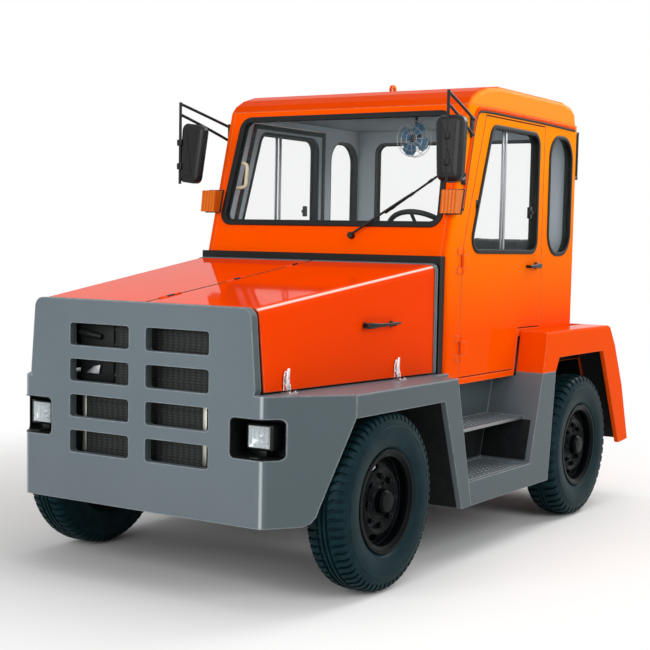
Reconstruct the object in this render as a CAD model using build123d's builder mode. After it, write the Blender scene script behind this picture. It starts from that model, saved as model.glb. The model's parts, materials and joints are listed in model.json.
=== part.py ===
"""Closed-cab four-wheel tow tractor, built from separate parts in one shared frame.

The frame has +X forwards, +Y to the driver's left and +Z up, with the origin on the
ground below the middle of the box. All sizes are in millimetres.
"""

import math
import os

from build123d import *

# Overall
FRONT_X = 1750.0
HALF_WIDTH = 875.0
PLATE = 25.0
SEAT_GAP = 0.3

# Wheels and axles
TYRE_R = 385.0
TYRE_W = 194.0
RIM_R = 221.0
BEAD_R = 203.0
TRACK_Y = HALF_WIDTH - 100.0
FRONT_AXLE_X = FRONT_X - 610.0
WHEELBASE = 2065.0
REAR_AXLE_X = FRONT_AXLE_X - WHEELBASE
HITCH_END_X = REAR_AXLE_X - 825.0
KINGPIN_Y = TRACK_Y - 90.0
KINGPIN_R = 18.0
STUB_R = 30.0
RAIL_INSET = 575.0
RAIL_Y = HALF_WIDTH - RAIL_INSET
RAIL_W = 70.0
RAIL_LOW = TYRE_R + 135.0
RAIL_HIGH = RAIL_LOW + 140.0
WELL_Y = TRACK_Y - TYRE_W / 2 - 38.0

# Front bumper and front fenders
BUMPER_T = 40.0
BUMPER_BACK = FRONT_X - BUMPER_T
BUMPER_BOTTOM = TYRE_R - 46.0
FENDER_TOP = 2 * TYRE_R + 93.0
FENDER_T = 15.0
FLARE_LONG = 320.0
FLARE_WIDE = 240.0
FLARE_T = 25.0
CORNER_Y = HALF_WIDTH - FLARE_WIDE
FOLD_X = FRONT_X - FLARE_LONG
FRONT_TOP = FENDER_TOP + 343.0
FRONT_TOP_HALF = HALF_WIDTH - 298.0
FRONT_LOW_HALF = FRONT_TOP_HALF + 30.0
FRONT_ARCH_Z = FENDER_TOP - 95.0
LEG_REAR_TOP_X = FRONT_AXLE_X - 580.0
LEG_REAR_LOW_X = FRONT_AXLE_X - 740.0
SKIRT_Z = TYRE_R - 131.0

# Rear fenders
REAR_TOP = FENDER_TOP + 165.0
REAR_SKIN = 18.0
REAR_ARCH_Z = REAR_TOP - 138.0
REAR_SPLIT_Z = FENDER_TOP - 44.0
REAR_LINE = [
    (REAR_AXLE_X - 352.0, REAR_TOP),
    (REAR_AXLE_X - 445.0, REAR_TOP - 118.0),
    (REAR_AXLE_X - 575.0, REAR_TOP - 358.0),
    (REAR_AXLE_X - 695.0, REAR_TOP - 683.0),
]
REAR_LINE_IN = [
    (REAR_AXLE_X - 342.0, REAR_TOP - REAR_SKIN),
    (REAR_AXLE_X - 427.0, REAR_TOP - 126.0),
    (REAR_AXLE_X - 556.0, REAR_TOP - 364.0),
    (REAR_AXLE_X - 674.0, REAR_TOP - 683.0),
]

# Cab
CAB_HALF = HALF_WIDTH - 160.0
CAB_WALL = 40.0
CAB_FRONT_X = FRONT_AXLE_X - 745.0
CAB_REAR_X = REAR_AXLE_X - 155.0
CAB_BASE_Z = FENDER_TOP - 63.0
BROW_Z = CAB_BASE_Z + 600.0
GUTTER_Z = BROW_Z + 735.0
GUTTER_X = CAB_FRONT_X - 192.0
ROOF_Z = GUTTER_Z + 115.0
PLATFORM_Z = REAR_TOP - 8.0
PLATFORM_X = CAB_FRONT_X - 875.0
DOOR_FRONT_X = CAB_FRONT_X - 145.0
DOOR_REAR_X = CAB_REAR_X + 425.0
DOOR_GAP = 6.0

# Bonnet
BONNET_FRONT_X = BUMPER_BACK - 18.0
BONNET_REAR_X = CAB_FRONT_X + 67.0
BONNET_LOW_Z = FENDER_TOP + 9.0
BONNET_REAR_Z = BROW_Z - 24.0
BONNET_REAR_HALF = CAB_HALF - 15.0
BONNET_T = 8.0
RIDGE_HALF = 7.0
BARREL_R = 6.0

IN_WALL = CAB_HALF - CAB_WALL
RIDGE_RISE = (BONNET_REAR_Z - FRONT_TOP) / (BONNET_FRONT_X - BONNET_REAR_X)


def side_plate(points, y_low, y_high, mode=Mode.ADD):
    """Extrude a profile drawn in X and Z from one Y plane to another."""
    with BuildSketch(Plane.XZ.offset(-y_high)) as outline:
        Polygon(*points, align=None)
    extrude(outline.sketch, amount=y_high - y_low, mode=mode)


def plan_plate(points, z_low, z_high, mode=Mode.ADD):
    """Extrude a profile drawn in X and Y from one height to another."""
    with BuildSketch(Plane.XY.offset(z_low)) as outline:
        Polygon(*points, align=None)
    extrude(outline.sketch, amount=z_high - z_low, mode=mode)


def cross_plate(points, x_low, x_high, mode=Mode.ADD, radius=0.0):
    """Extrude a profile drawn in Y and Z from one X plane to another."""
    with BuildSketch(Plane.YZ.offset(x_low)) as outline:
        Polygon(*points, align=None)
        if radius:
            fillet(outline.vertices(), radius=radius)
    extrude(outline.sketch, amount=x_high - x_low, mode=mode)


def block(x_low, x_high, y_low, y_high, z_low, z_high, mode=Mode.ADD):
    """Place a rectangular block by its limits."""
    centre = ((x_low + x_high) / 2, (y_low + y_high) / 2, (z_low + z_high) / 2)
    with Locations(centre):
        Box(x_high - x_low, y_high - y_low, z_high - z_low, mode=mode)


def rounded_side_cut(points, radius, y_low, y_high, mode=Mode.SUBTRACT):
    """Cut, or keep, a round-cornered profile drawn in X and Z."""
    with BuildSketch(Plane.XZ.offset(-y_high)) as outline:
        Polygon(*points, align=None)
        fillet(outline.vertices(), radius=radius)
    extrude(outline.sketch, amount=y_high - y_low, mode=mode)


def rod(start, end, radius, mode=Mode.ADD):
    """Round bar between two points."""
    path = Vector(*end) - Vector(*start)
    with BuildSketch(Plane(origin=start, z_dir=path)) as outline:
        Circle(radius)
    extrude(outline.sketch, amount=path.length, mode=mode)


def turned(points, x_axle, z_axle):
    """Revolve a profile given as radius and Y about an axle along Y."""
    with BuildSketch(Plane(origin=(x_axle, 0, z_axle), x_dir=(1, 0, 0), z_dir=(0, 0, 1))) as outline:
        Polygon(*points, align=None)
    axle = Axis((x_axle, 0, z_axle), (0, 1, 0))
    revolve(outline.sketch, axis=axle, revolution_arc=360)


os.makedirs("parts", exist_ok=True)
made = []


def keep(builder, label):
    """Name a finished part and list it for export."""
    builder.part.label = label
    made.append((label, builder.part))


# Chassis frame: two rails, cross members, outriggers and cab posts
def rear_inner_x(z):
    """Inner face of the lower rear panel at one height."""
    (x_top, z_top), (x_low, z_low) = REAR_LINE_IN[2], REAR_LINE_IN[3]
    return x_top + (x_low - x_top) * (z - z_top) / (z_low - z_top)


def rear_outer_x(z, stage=2):
    """Outer face of the rear panel at one height, on one of its slopes."""
    (x_top, z_top), (x_low, z_low) = REAR_LINE[stage], REAR_LINE[stage + 1]
    return x_top + (x_low - x_top) * (z - z_top) / (z_low - z_top)


STEP_IN_Y = HALF_WIDTH - 295.0
with BuildPart() as chassis_frame:
    for side in (-1, 1):
        y_pair = sorted((side * RAIL_Y, side * (RAIL_Y + RAIL_W)))
        side_plate(
            [
                (FRONT_X - 170, RAIL_LOW),
                (FRONT_X - 170, RAIL_HIGH),
                (rear_inner_x(RAIL_HIGH) + SEAT_GAP, RAIL_HIGH),
                (rear_inner_x(RAIL_LOW) + SEAT_GAP, RAIL_LOW),
            ],
            y_pair[0],
            y_pair[1],
        )
        block(FRONT_X - 290, BUMPER_BACK, y_pair[0], y_pair[1], RAIL_LOW - 120, RAIL_LOW)
        post_y = sorted((side * (RAIL_Y + 10), side * (RAIL_Y + 60)))
        for post_x in (CAB_FRONT_X - 95, CAB_FRONT_X - 695):
            block(post_x - 40, post_x + 40, post_y[0], post_y[1], RAIL_HIGH, CAB_BASE_Z)
        block(CAB_REAR_X + 80, CAB_REAR_X + 160, post_y[0], post_y[1], RAIL_HIGH, PLATFORM_Z - 20)
        arm_y = sorted((side * (RAIL_Y + RAIL_W), side * STEP_IN_Y))
        for arm_x in (CAB_FRONT_X - 65, CAB_FRONT_X - 675):
            block(arm_x - 35, arm_x + 35, arm_y[0], arm_y[1], RAIL_LOW + 40, RAIL_HIGH - 20)
    for cross_x in (FRONT_X - 210, CAB_FRONT_X + 105, CAB_FRONT_X - 815, REAR_AXLE_X - 455):
        block(cross_x - 35, cross_x + 35, -RAIL_Y, RAIL_Y, RAIL_LOW + 20, RAIL_HIGH - 20)
keep(chassis_frame, "chassis_frame")

# Front bumper: flat grille plate, flared corners, slots and lamp openings
LAMP_IN_Y = CORNER_Y - 153.0
LAMP_OUT_Y = CORNER_Y + 62.0
LAMP_R = 22.0
LAMP_LOW = FENDER_TOP - 253.0
LAMP_HIGH = FENDER_TOP - 90.0
SLOT_BAR = 90.0
SLOT_W = LAMP_IN_Y - SLOT_BAR / 2 - 107.0
SLOT_H = 96.0
SLOT_R = 14.0
SLOT_PITCH = 153.0
slot_rows = [FRONT_TOP - 150.0 - SLOT_PITCH * row for row in range(4)]
slot_columns = [side * (SLOT_BAR + SLOT_W) / 2 for side in (-1, 1)]
flare_len = math.hypot(FLARE_LONG, FLARE_WIDE)
FLARE_IN_FOLD = HALF_WIDTH - FLARE_T * flare_len / FLARE_LONG
FLARE_IN_FRONT = FLARE_IN_FOLD - FLARE_WIDE * (BUMPER_BACK - FOLD_X) / FLARE_LONG
with BuildPart() as front_bumper:
    inner_x = BUMPER_BACK
    with BuildSketch(Plane.XY.offset(BUMPER_BOTTOM)) as wrap:
        Polygon(
            (FOLD_X, HALF_WIDTH),
            (FOLD_X, FLARE_IN_FOLD),
            (inner_x, FLARE_IN_FRONT),
            (inner_x, -FLARE_IN_FRONT),
            (FOLD_X, -FLARE_IN_FOLD),
            (FOLD_X, -HALF_WIDTH),
            (FRONT_X, -CORNER_Y),
            (FRONT_X, CORNER_Y),
            align=None,
        )
        fillet(wrap.vertices().group_by(Axis.X)[-1], radius=60)
    extrude(amount=FENDER_TOP - BUMPER_BOTTOM)
    with BuildSketch(Plane.YZ.offset(inner_x)) as upper:
        Polygon(
            (-FRONT_LOW_HALF, FENDER_TOP - 20),
            (FRONT_LOW_HALF, FENDER_TOP - 20),
            (FRONT_TOP_HALF, FRONT_TOP),
            (-FRONT_TOP_HALF, FRONT_TOP),
            align=None,
        )
        fillet(upper.vertices().group_by(Axis.Z)[-1], radius=45)
    extrude(amount=BUMPER_T)
    arch_front = [
        (FOLD_X - 20, FRONT_ARCH_Z),
        (FOLD_X + 1, FRONT_ARCH_Z),
        (FOLD_X + 120, BUMPER_BOTTOM + 76),
        (FOLD_X + 131, BUMPER_BOTTOM + 39),
        (FOLD_X + 150, BUMPER_BOTTOM + 13),
        (FOLD_X + 176, BUMPER_BOTTOM),
        (FOLD_X + 176, BUMPER_BOTTOM - 40),
        (FOLD_X - 20, BUMPER_BOTTOM - 40),
    ]
    side_plate(arch_front, CORNER_Y - 35, HALF_WIDTH + 25, mode=Mode.SUBTRACT)
    side_plate(arch_front, -HALF_WIDTH - 25, 35 - CORNER_Y, mode=Mode.SUBTRACT)
    with BuildSketch(Plane.YZ.offset(inner_x - 10)) as slots:
        with Locations(*[(y, z) for y in slot_columns for z in slot_rows]):
            RectangleRounded(SLOT_W, SLOT_H, SLOT_R)
    extrude(amount=BUMPER_T + 20, mode=Mode.SUBTRACT)
    for side in (-1, 1):
        lamp_mid = (side * (LAMP_IN_Y + LAMP_OUT_Y) / 2, (LAMP_LOW + LAMP_HIGH) / 2)
        with BuildSketch(Plane.YZ.offset(FOLD_X + 168)) as lamp_hole:
            with Locations(lamp_mid):
                RectangleRounded(LAMP_OUT_Y - LAMP_IN_Y, LAMP_HIGH - LAMP_LOW, LAMP_R)
        extrude(lamp_hole.sketch, amount=FLARE_LONG - 158, mode=Mode.SUBTRACT)
keep(front_bumper, "front_bumper")

# Front fender: top, side band over the arch, slanted leg and inner wall
LEG_FRONT_TOP_X = FRONT_AXLE_X - 461.0
LEG_FRONT_LOW_X = FRONT_AXLE_X - 647.0
WELL_SKIN = 20.0
COWL_Y = HALF_WIDTH - 315.0
with BuildPart() as front_fender_left:
    plan_plate(
        [
            (BUMPER_BACK, COWL_Y),
            (BUMPER_BACK, FLARE_IN_FRONT),
            (FOLD_X, FLARE_IN_FOLD),
            (FOLD_X, HALF_WIDTH),
            (LEG_REAR_TOP_X, HALF_WIDTH),
            (LEG_REAR_TOP_X - 40, CAB_HALF + 20),
            (CAB_FRONT_X, CAB_HALF + 20),
            (CAB_FRONT_X, COWL_Y),
        ],
        FENDER_TOP - FENDER_T,
        FENDER_TOP,
    )
    side_plate(
        [
            (FOLD_X, FENDER_TOP - 8),
            (FOLD_X, FRONT_ARCH_Z),
            (LEG_FRONT_TOP_X, FRONT_ARCH_Z),
            (LEG_FRONT_LOW_X, SKIRT_Z),
            (LEG_REAR_LOW_X, SKIRT_Z),
            (LEG_REAR_TOP_X, FENDER_TOP - 8),
        ],
        HALF_WIDTH - PLATE,
        HALF_WIDTH,
    )
    side_plate(
        [
            (LEG_FRONT_TOP_X, FENDER_TOP - 8),
            (LEG_FRONT_TOP_X, FRONT_ARCH_Z),
            (LEG_FRONT_LOW_X, SKIRT_Z),
            (LEG_FRONT_LOW_X - WELL_SKIN, SKIRT_Z),
            (LEG_FRONT_TOP_X - WELL_SKIN, FRONT_ARCH_Z),
            (LEG_FRONT_TOP_X - WELL_SKIN, FENDER_TOP - 8),
        ],
        STEP_IN_Y + 10,
        HALF_WIDTH - PLATE + 5,
    )
    outer_edges = front_fender_left.edges().filter_by(Axis.X)
    outer_edges = outer_edges.filter_by_position(Axis.Y, HALF_WIDTH - 1, HALF_WIDTH + 1)
    fillet(outer_edges.sort_by(Axis.Z)[-1], radius=10)
keep(front_fender_left, "front_fender_left")

# Step box: two treads in a well, front wall, inner wall and the panel before the rear wheel
STEP_SKIN = 12.0
STEP_REAR_TOP_X = REAR_AXLE_X + 548.0
STEP_REAR_LOW_X = REAR_AXLE_X + 712.0
ARCH_FRONT_TOP_X = REAR_AXLE_X + 389.0
ARCH_FRONT_LOW_X = REAR_AXLE_X + 451.0
TREAD_T = 14.0
TREAD_TABLE = [(SKIRT_Z + 346.0, HALF_WIDTH - 75.0), (SKIRT_Z + 116.0, HALF_WIDTH - PLATE)]


def slant(z, top_x, low_x, top_z=REAR_SPLIT_Z):
    """Station of a slanted wall at one height."""
    return low_x + (top_x - low_x) * (z - SKIRT_Z) / (top_z - SKIRT_Z)


def leg_x(z):
    """Rear edge of the front fender's leg at one height."""
    return slant(z, LEG_REAR_TOP_X, LEG_REAR_LOW_X, FENDER_TOP - 8)


def panel_x(z):
    """Front face of the panel before the rear wheel at one height."""
    return slant(z, STEP_REAR_TOP_X, STEP_REAR_LOW_X)


UNDER_CAB = CAB_BASE_Z - 3.0
with BuildPart() as step_box_left:
    side_plate(
        [
            (leg_x(UNDER_CAB), UNDER_CAB),
            (leg_x(SKIRT_Z), SKIRT_Z),
            (leg_x(SKIRT_Z) - STEP_SKIN, SKIRT_Z),
            (leg_x(UNDER_CAB) - STEP_SKIN, UNDER_CAB),
        ],
        STEP_IN_Y,
        HALF_WIDTH - PLATE,
    )
    side_plate(
        [
            (leg_x(UNDER_CAB) - 6, UNDER_CAB),
            (leg_x(SKIRT_Z) - 6, SKIRT_Z),
            (panel_x(SKIRT_Z) - 6, SKIRT_Z),
            (panel_x(UNDER_CAB) - 6, UNDER_CAB),
        ],
        STEP_IN_Y,
        STEP_IN_Y + STEP_SKIN,
    )
    for tread_z, tread_y in TREAD_TABLE:
        side_plate(
            [
                (leg_x(tread_z) - 6, tread_z),
                (leg_x(tread_z - TREAD_T) - 6, tread_z - TREAD_T),
                (panel_x(tread_z - TREAD_T) - 6, tread_z - TREAD_T),
                (panel_x(tread_z) - 6, tread_z),
            ],
            STEP_IN_Y + 6,
            tread_y,
        )
    side_plate(
        [
            (leg_x(TREAD_TABLE[1][0]), TREAD_TABLE[1][0]),
            (leg_x(SKIRT_Z), SKIRT_Z),
            (panel_x(SKIRT_Z) - 6, SKIRT_Z),
            (panel_x(TREAD_TABLE[1][0]) - 6, TREAD_TABLE[1][0]),
        ],
        HALF_WIDTH - PLATE,
        HALF_WIDTH - SEAT_GAP,
    )
    side_plate(
        [
            (leg_x(SKIRT_Z) - 6, SKIRT_Z + STEP_SKIN),
            (leg_x(SKIRT_Z) - 6, SKIRT_Z),
            (panel_x(SKIRT_Z) - 6, SKIRT_Z),
            (panel_x(SKIRT_Z) - 6, SKIRT_Z + STEP_SKIN),
        ],
        STEP_IN_Y,
        HALF_WIDTH - PLATE + 5,
    )
    side_plate(
        [
            (panel_x(UNDER_CAB), UNDER_CAB),
            (panel_x(SKIRT_Z), SKIRT_Z),
            (panel_x(SKIRT_Z) - STEP_SKIN, SKIRT_Z),
            (panel_x(UNDER_CAB) - STEP_SKIN, UNDER_CAB),
        ],
        STEP_IN_Y,
        HALF_WIDTH - 5,
    )
    side_plate(
        [
            (panel_x(REAR_SPLIT_Z), REAR_SPLIT_Z),
            (panel_x(UNDER_CAB - 10), UNDER_CAB - 10),
            (panel_x(UNDER_CAB - 10) - STEP_SKIN, UNDER_CAB - 10),
            (panel_x(REAR_SPLIT_Z) - STEP_SKIN, REAR_SPLIT_Z),
        ],
        CAB_HALF + 7,
        HALF_WIDTH - 5,
    )
    side_plate(
        [
            (STEP_REAR_TOP_X, REAR_SPLIT_Z),
            (STEP_REAR_LOW_X, SKIRT_Z),
            (ARCH_FRONT_LOW_X, SKIRT_Z),
            (ARCH_FRONT_TOP_X, REAR_SPLIT_Z),
        ],
        HALF_WIDTH - PLATE,
        HALF_WIDTH,
    )
    side_plate(
        [
            (ARCH_FRONT_TOP_X, REAR_SPLIT_Z),
            (ARCH_FRONT_LOW_X, SKIRT_Z),
            (ARCH_FRONT_LOW_X + STEP_SKIN, SKIRT_Z),
            (ARCH_FRONT_TOP_X + STEP_SKIN, REAR_SPLIT_Z),
        ],
        CAB_HALF + 7,
        HALF_WIDTH - 5,
    )
keep(step_box_left, "step_box_left")

# Rear fender: side with arch, front wall, top and sloping back
FENDER_IN_Y = CAB_HALF + 7.0
with BuildPart() as rear_fender_left:
    side_plate(
        [(STEP_REAR_TOP_X, REAR_SPLIT_Z), (STEP_REAR_TOP_X - 40, REAR_TOP)]
        + REAR_LINE
        + [
            (REAR_AXLE_X - 557, REAR_TOP - 692),
            (REAR_AXLE_X - 270, REAR_ARCH_Z),
            (REAR_AXLE_X + 347, REAR_ARCH_Z),
            (ARCH_FRONT_TOP_X, REAR_SPLIT_Z),
        ],
        HALF_WIDTH - PLATE,
        HALF_WIDTH,
    )
    side_plate(
        [
            (STEP_REAR_TOP_X, REAR_SPLIT_Z),
            (STEP_REAR_TOP_X - 40, REAR_TOP),
            (STEP_REAR_TOP_X - 55, REAR_TOP),
            (STEP_REAR_TOP_X - 15, REAR_SPLIT_Z),
        ],
        FENDER_IN_Y,
        HALF_WIDTH - 5,
    )
    side_plate(
        [
            (STEP_REAR_TOP_X - 37, REAR_TOP - REAR_SKIN),
            (STEP_REAR_TOP_X - 40, REAR_TOP),
            REAR_LINE[0],
            REAR_LINE_IN[0],
        ],
        FENDER_IN_Y,
        HALF_WIDTH - 5,
    )
    side_plate(REAR_LINE + REAR_LINE_IN[::-1], WELL_Y, HALF_WIDTH - 5)
    side_plate(
        [
            (REAR_AXLE_X + 385, PLATFORM_Z - 21),
            (REAR_AXLE_X + 385, REAR_SPLIT_Z + 3),
            (REAR_AXLE_X - 467, REAR_SPLIT_Z + 3),
            (REAR_AXLE_X - 365, PLATFORM_Z - 21),
        ],
        WELL_Y,
        WELL_Y + 10,
    )
    outer_edges = rear_fender_left.edges().filter_by(Axis.X)
    outer_edges = outer_edges.filter_by_position(Axis.Y, HALF_WIDTH - 1, HALF_WIDTH + 1)
    fillet(outer_edges.sort_by(Axis.Z)[-1], radius=REAR_SKIN)
keep(rear_fender_left, "rear_fender_left")

# Rear panel with the deck behind the cab
with BuildPart() as rear_panel:
    side_plate(
        [(CAB_REAR_X, REAR_TOP)] + REAR_LINE + REAR_LINE_IN[::-1] + [(CAB_REAR_X, REAR_TOP - REAR_SKIN)],
        -WELL_Y,
        WELL_Y,
    )
keep(rear_panel, "rear_panel")

# Tow hitch: back plate, two ears with a pin hole through each
EAR_R = 60.0
EAR_T = 26.0
HITCH_X = HITCH_END_X + EAR_R
HITCH_HOLE_R = 21.0
HITCH_LOW = TYRE_R + 35.0
HITCH_HIGH = HITCH_LOW + 120.0
with BuildPart() as tow_hitch:
    side_plate(
        [
            (rear_outer_x(HITCH_HIGH) - SEAT_GAP, HITCH_HIGH),
            (rear_outer_x(HITCH_LOW) - SEAT_GAP, HITCH_LOW),
            (HITCH_X + 30, HITCH_LOW),
            (HITCH_X + 30, HITCH_HIGH),
        ],
        -150,
        150,
    )
    for ear_low, ear_high in ((HITCH_LOW, HITCH_LOW + EAR_T), (HITCH_HIGH - EAR_T, HITCH_HIGH)):
        with BuildSketch(Plane.XY.offset(ear_low)) as ear:
            with Locations((HITCH_X, 0)):
                Circle(EAR_R)
            with Locations((HITCH_X + 35, 0)):
                Rectangle(70, 2 * EAR_R)
        extrude(amount=ear_high - ear_low)
    with Locations((HITCH_X, 0, (HITCH_LOW + HITCH_HIGH) / 2)):
        Cylinder(HITCH_HOLE_R, 200, mode=Mode.SUBTRACT)
keep(tow_hitch, "tow_hitch")

# Radiator behind the slots
RADIATOR_FRONT = BUMPER_BACK - 48.0
RADIATOR_HALF = RAIL_Y + RAIL_W + 18.0
RADIATOR_TOP = FRONT_TOP - 84.0
FIN_COUNT = 9
fin_pitch = (RADIATOR_TOP - RAIL_LOW - 82.0) / (FIN_COUNT - 1)
with BuildPart() as radiator:
    block(RADIATOR_FRONT - 62, RADIATOR_FRONT, -RADIATOR_HALF, RADIATOR_HALF, RAIL_LOW, RADIATOR_TOP)
    for fin in range(FIN_COUNT):
        fin_z = RAIL_LOW + 40.0 + fin_pitch * fin
        fin_half = RADIATOR_HALF - 8
        block(RADIATOR_FRONT - 5, RADIATOR_FRONT + 6, -fin_half, fin_half, fin_z - 6, fin_z + 6)
keep(radiator, "radiator")

# Engine, one plain block
with BuildPart() as engine_block:
    block(FRONT_AXLE_X - 500, FRONT_AXLE_X + 280, 70 - RAIL_Y, RAIL_Y - 70, RAIL_LOW - 50, FRONT_TOP - 166)
    block(FRONT_AXLE_X - 440, FRONT_AXLE_X + 220, -RAIL_Y, RAIL_Y, RAIL_LOW + 25, RAIL_HIGH - 25)
keep(engine_block, "engine_block")

# Head lamps in the corner openings, each on a bracket
LAMP_FACE_X = FRONT_X - 50.0
LAMP_DEEP = 70.0
LAMP_HALF = 63.0
lamp_floor = LAMP_LOW + 32.0
lamp_roof = LAMP_HIGH - 23.0
with BuildPart() as headlamps:
    for side in (-1, 1):
        lamp_c = side * (LAMP_IN_Y + LAMP_OUT_Y) / 2
        shell = [
            (lamp_c - LAMP_HALF, lamp_floor),
            (lamp_c + LAMP_HALF, lamp_floor),
            (lamp_c + LAMP_HALF, lamp_roof),
            (lamp_c - LAMP_HALF, lamp_roof),
        ]
        cross_plate(shell, LAMP_FACE_X - LAMP_DEEP, LAMP_FACE_X, radius=12)
        block(LAMP_FACE_X - 50, FRONT_X - 14, lamp_c - 20, lamp_c + 20, LAMP_LOW, LAMP_LOW + 10)
        block(LAMP_FACE_X - 50, LAMP_FACE_X - 26, lamp_c - 20, lamp_c + 20, LAMP_LOW + 5, lamp_floor + 4)
keep(headlamps, "headlamps")

# Tail lamps on the rear panel
TAIL_LOW = REAR_TOP - 258.0
TAIL_HIGH = TAIL_LOW + 60.0
with BuildPart() as tail_lamps:
    for side in (-1, 1):
        lamp_y = sorted((side * (WELL_Y - 190), side * (WELL_Y - 40)))
        tail_top = rear_outer_x(TAIL_HIGH, 1) - SEAT_GAP
        tail_low = rear_outer_x(TAIL_LOW, 1) - SEAT_GAP
        side_plate(
            [
                (tail_top, TAIL_HIGH),
                (tail_low, TAIL_LOW),
                (tail_low - 24, TAIL_LOW + 13),
                (tail_top - 24, TAIL_HIGH + 13),
            ],
            lamp_y[0],
            lamp_y[1],
        )
keep(tail_lamps, "tail_lamps")

# Cab front: fire wall and windscreen frame
def glass_x(z):
    """Outer face of the windscreen frame at one height."""
    return CAB_FRONT_X + (GUTTER_X - CAB_FRONT_X) * (z - BROW_Z) / (GUTTER_Z - BROW_Z)


SCREEN_LOW_HALF = CAB_HALF - 67.0
SCREEN_TOP_HALF = CAB_HALF - 101.0
SCREEN = [
    (-SCREEN_LOW_HALF, BROW_Z + 155),
    (SCREEN_LOW_HALF, BROW_Z + 155),
    (SCREEN_TOP_HALF, GUTTER_Z - 37),
    (-SCREEN_TOP_HALF, GUTTER_Z - 37),
]
with BuildPart() as cab_front:
    side_plate(
        [
            (CAB_FRONT_X, CAB_BASE_Z),
            (CAB_FRONT_X, BROW_Z),
            (GUTTER_X, GUTTER_Z),
            (GUTTER_X - CAB_WALL, GUTTER_Z),
            (CAB_FRONT_X - CAB_WALL, BROW_Z - 5),
            (CAB_FRONT_X - CAB_WALL, CAB_BASE_Z),
        ],
        -IN_WALL,
        IN_WALL,
    )
    cross_plate(SCREEN, GUTTER_X - 103, CAB_FRONT_X + 105, mode=Mode.SUBTRACT, radius=55)
keep(cab_front, "cab_front")

# Cab side: pillars, sill, roof rail and quarter panel round the door opening
DOOR_LINE = [
    (DOOR_FRONT_X, CAB_BASE_Z + 35),
    (DOOR_FRONT_X, BROW_Z + 25),
    (DOOR_FRONT_X - 218, GUTTER_Z - 43),
    (DOOR_REAR_X, GUTTER_Z - 43),
    (DOOR_REAR_X, REAR_TOP + 18),
    (STEP_REAR_TOP_X - 11, REAR_TOP + 18),
    (STEP_REAR_TOP_X + 27, CAB_BASE_Z + 35),
]
DOOR_GLASS = [
    (DOOR_FRONT_X - 68, BROW_Z + 32),
    (DOOR_REAR_X + 63, BROW_Z + 32),
    (DOOR_REAR_X + 63, GUTTER_Z - 83),
    (DOOR_FRONT_X - 284, GUTTER_Z - 83),
]
HINGE_X = DOOR_FRONT_X + DOOR_GAP / 2
HINGE_R = 9.0
HINGE_Y = CAB_HALF + HINGE_R + 1.0
HINGE_TABLE = [CAB_BASE_Z + 175.0, BROW_Z - 10.0]
QUARTER_X = CAB_REAR_X + 203.0
QUARTER_Z = GUTTER_Z - 395.0
QUARTER_W = 298.0
QUARTER_H = 636.0
QUARTER_R = 122.0
with BuildPart() as cab_side_left:
    side_plate(
        [
            (CAB_FRONT_X, CAB_BASE_Z),
            (CAB_FRONT_X, BROW_Z),
            (GUTTER_X, GUTTER_Z),
            (CAB_REAR_X, GUTTER_Z),
            (CAB_REAR_X, PLATFORM_Z - 20),
            (STEP_REAR_TOP_X - 21, PLATFORM_Z - 20),
            (STEP_REAR_TOP_X + 15, CAB_BASE_Z),
        ],
        IN_WALL,
        CAB_HALF,
    )
    with BuildSketch(Plane.XZ.offset(-CAB_HALF - 5)) as opening:
        Polygon(*DOOR_LINE, align=None)
        offset(amount=DOOR_GAP, kind=Kind.INTERSECTION)
    extrude(opening.sketch, amount=CAB_WALL + 10, mode=Mode.SUBTRACT)
    with BuildSketch(Plane.XZ.offset(-CAB_HALF - 5)) as quarter:
        with Locations((QUARTER_X, QUARTER_Z)):
            RectangleRounded(QUARTER_W, QUARTER_H, QUARTER_R)
    extrude(quarter.sketch, amount=CAB_WALL + 10, mode=Mode.SUBTRACT)
    front_edges = cab_side_left.edges().filter_by_position(Axis.Y, CAB_HALF - 1, CAB_HALF + 1)
    nose = front_edges.filter_by(lambda e: e.length > 550 and e.center().X > GUTTER_X + 87)
    nose = nose.filter_by(lambda e: abs(e.center().X - CAB_FRONT_X) < 1 or e.center().Z > BROW_Z + 300)
    fillet(nose, radius=32)
    for hinge_z in HINGE_TABLE:
        for barrel_low, barrel_high in ((-60.0, -30 - SEAT_GAP), (30 + SEAT_GAP, 60.0)):
            low, high = hinge_z + barrel_low, hinge_z + barrel_high
            block(HINGE_X, HINGE_X + 50, CAB_HALF - 1, CAB_HALF + 7, low, high)
            rod((HINGE_X, HINGE_Y, low), (HINGE_X, HINGE_Y, high), HINGE_R)
keep(cab_side_left, "cab_side_left")

# Cab rear wall with its window
REAR_GLASS_HALF = IN_WALL - 115.0
REAR_GLASS = [
    (-REAR_GLASS_HALF, GUTTER_Z - 685),
    (REAR_GLASS_HALF, GUTTER_Z - 685),
    (REAR_GLASS_HALF, GUTTER_Z - 73),
    (-REAR_GLASS_HALF, GUTTER_Z - 73),
]
with BuildPart() as cab_rear:
    block(CAB_REAR_X, CAB_REAR_X + CAB_WALL, -IN_WALL, IN_WALL, REAR_TOP, GUTTER_Z)
    cross_plate(REAR_GLASS, CAB_REAR_X - 10, CAB_REAR_X + CAB_WALL + 10, mode=Mode.SUBTRACT, radius=60)
keep(cab_rear, "cab_rear")

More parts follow.
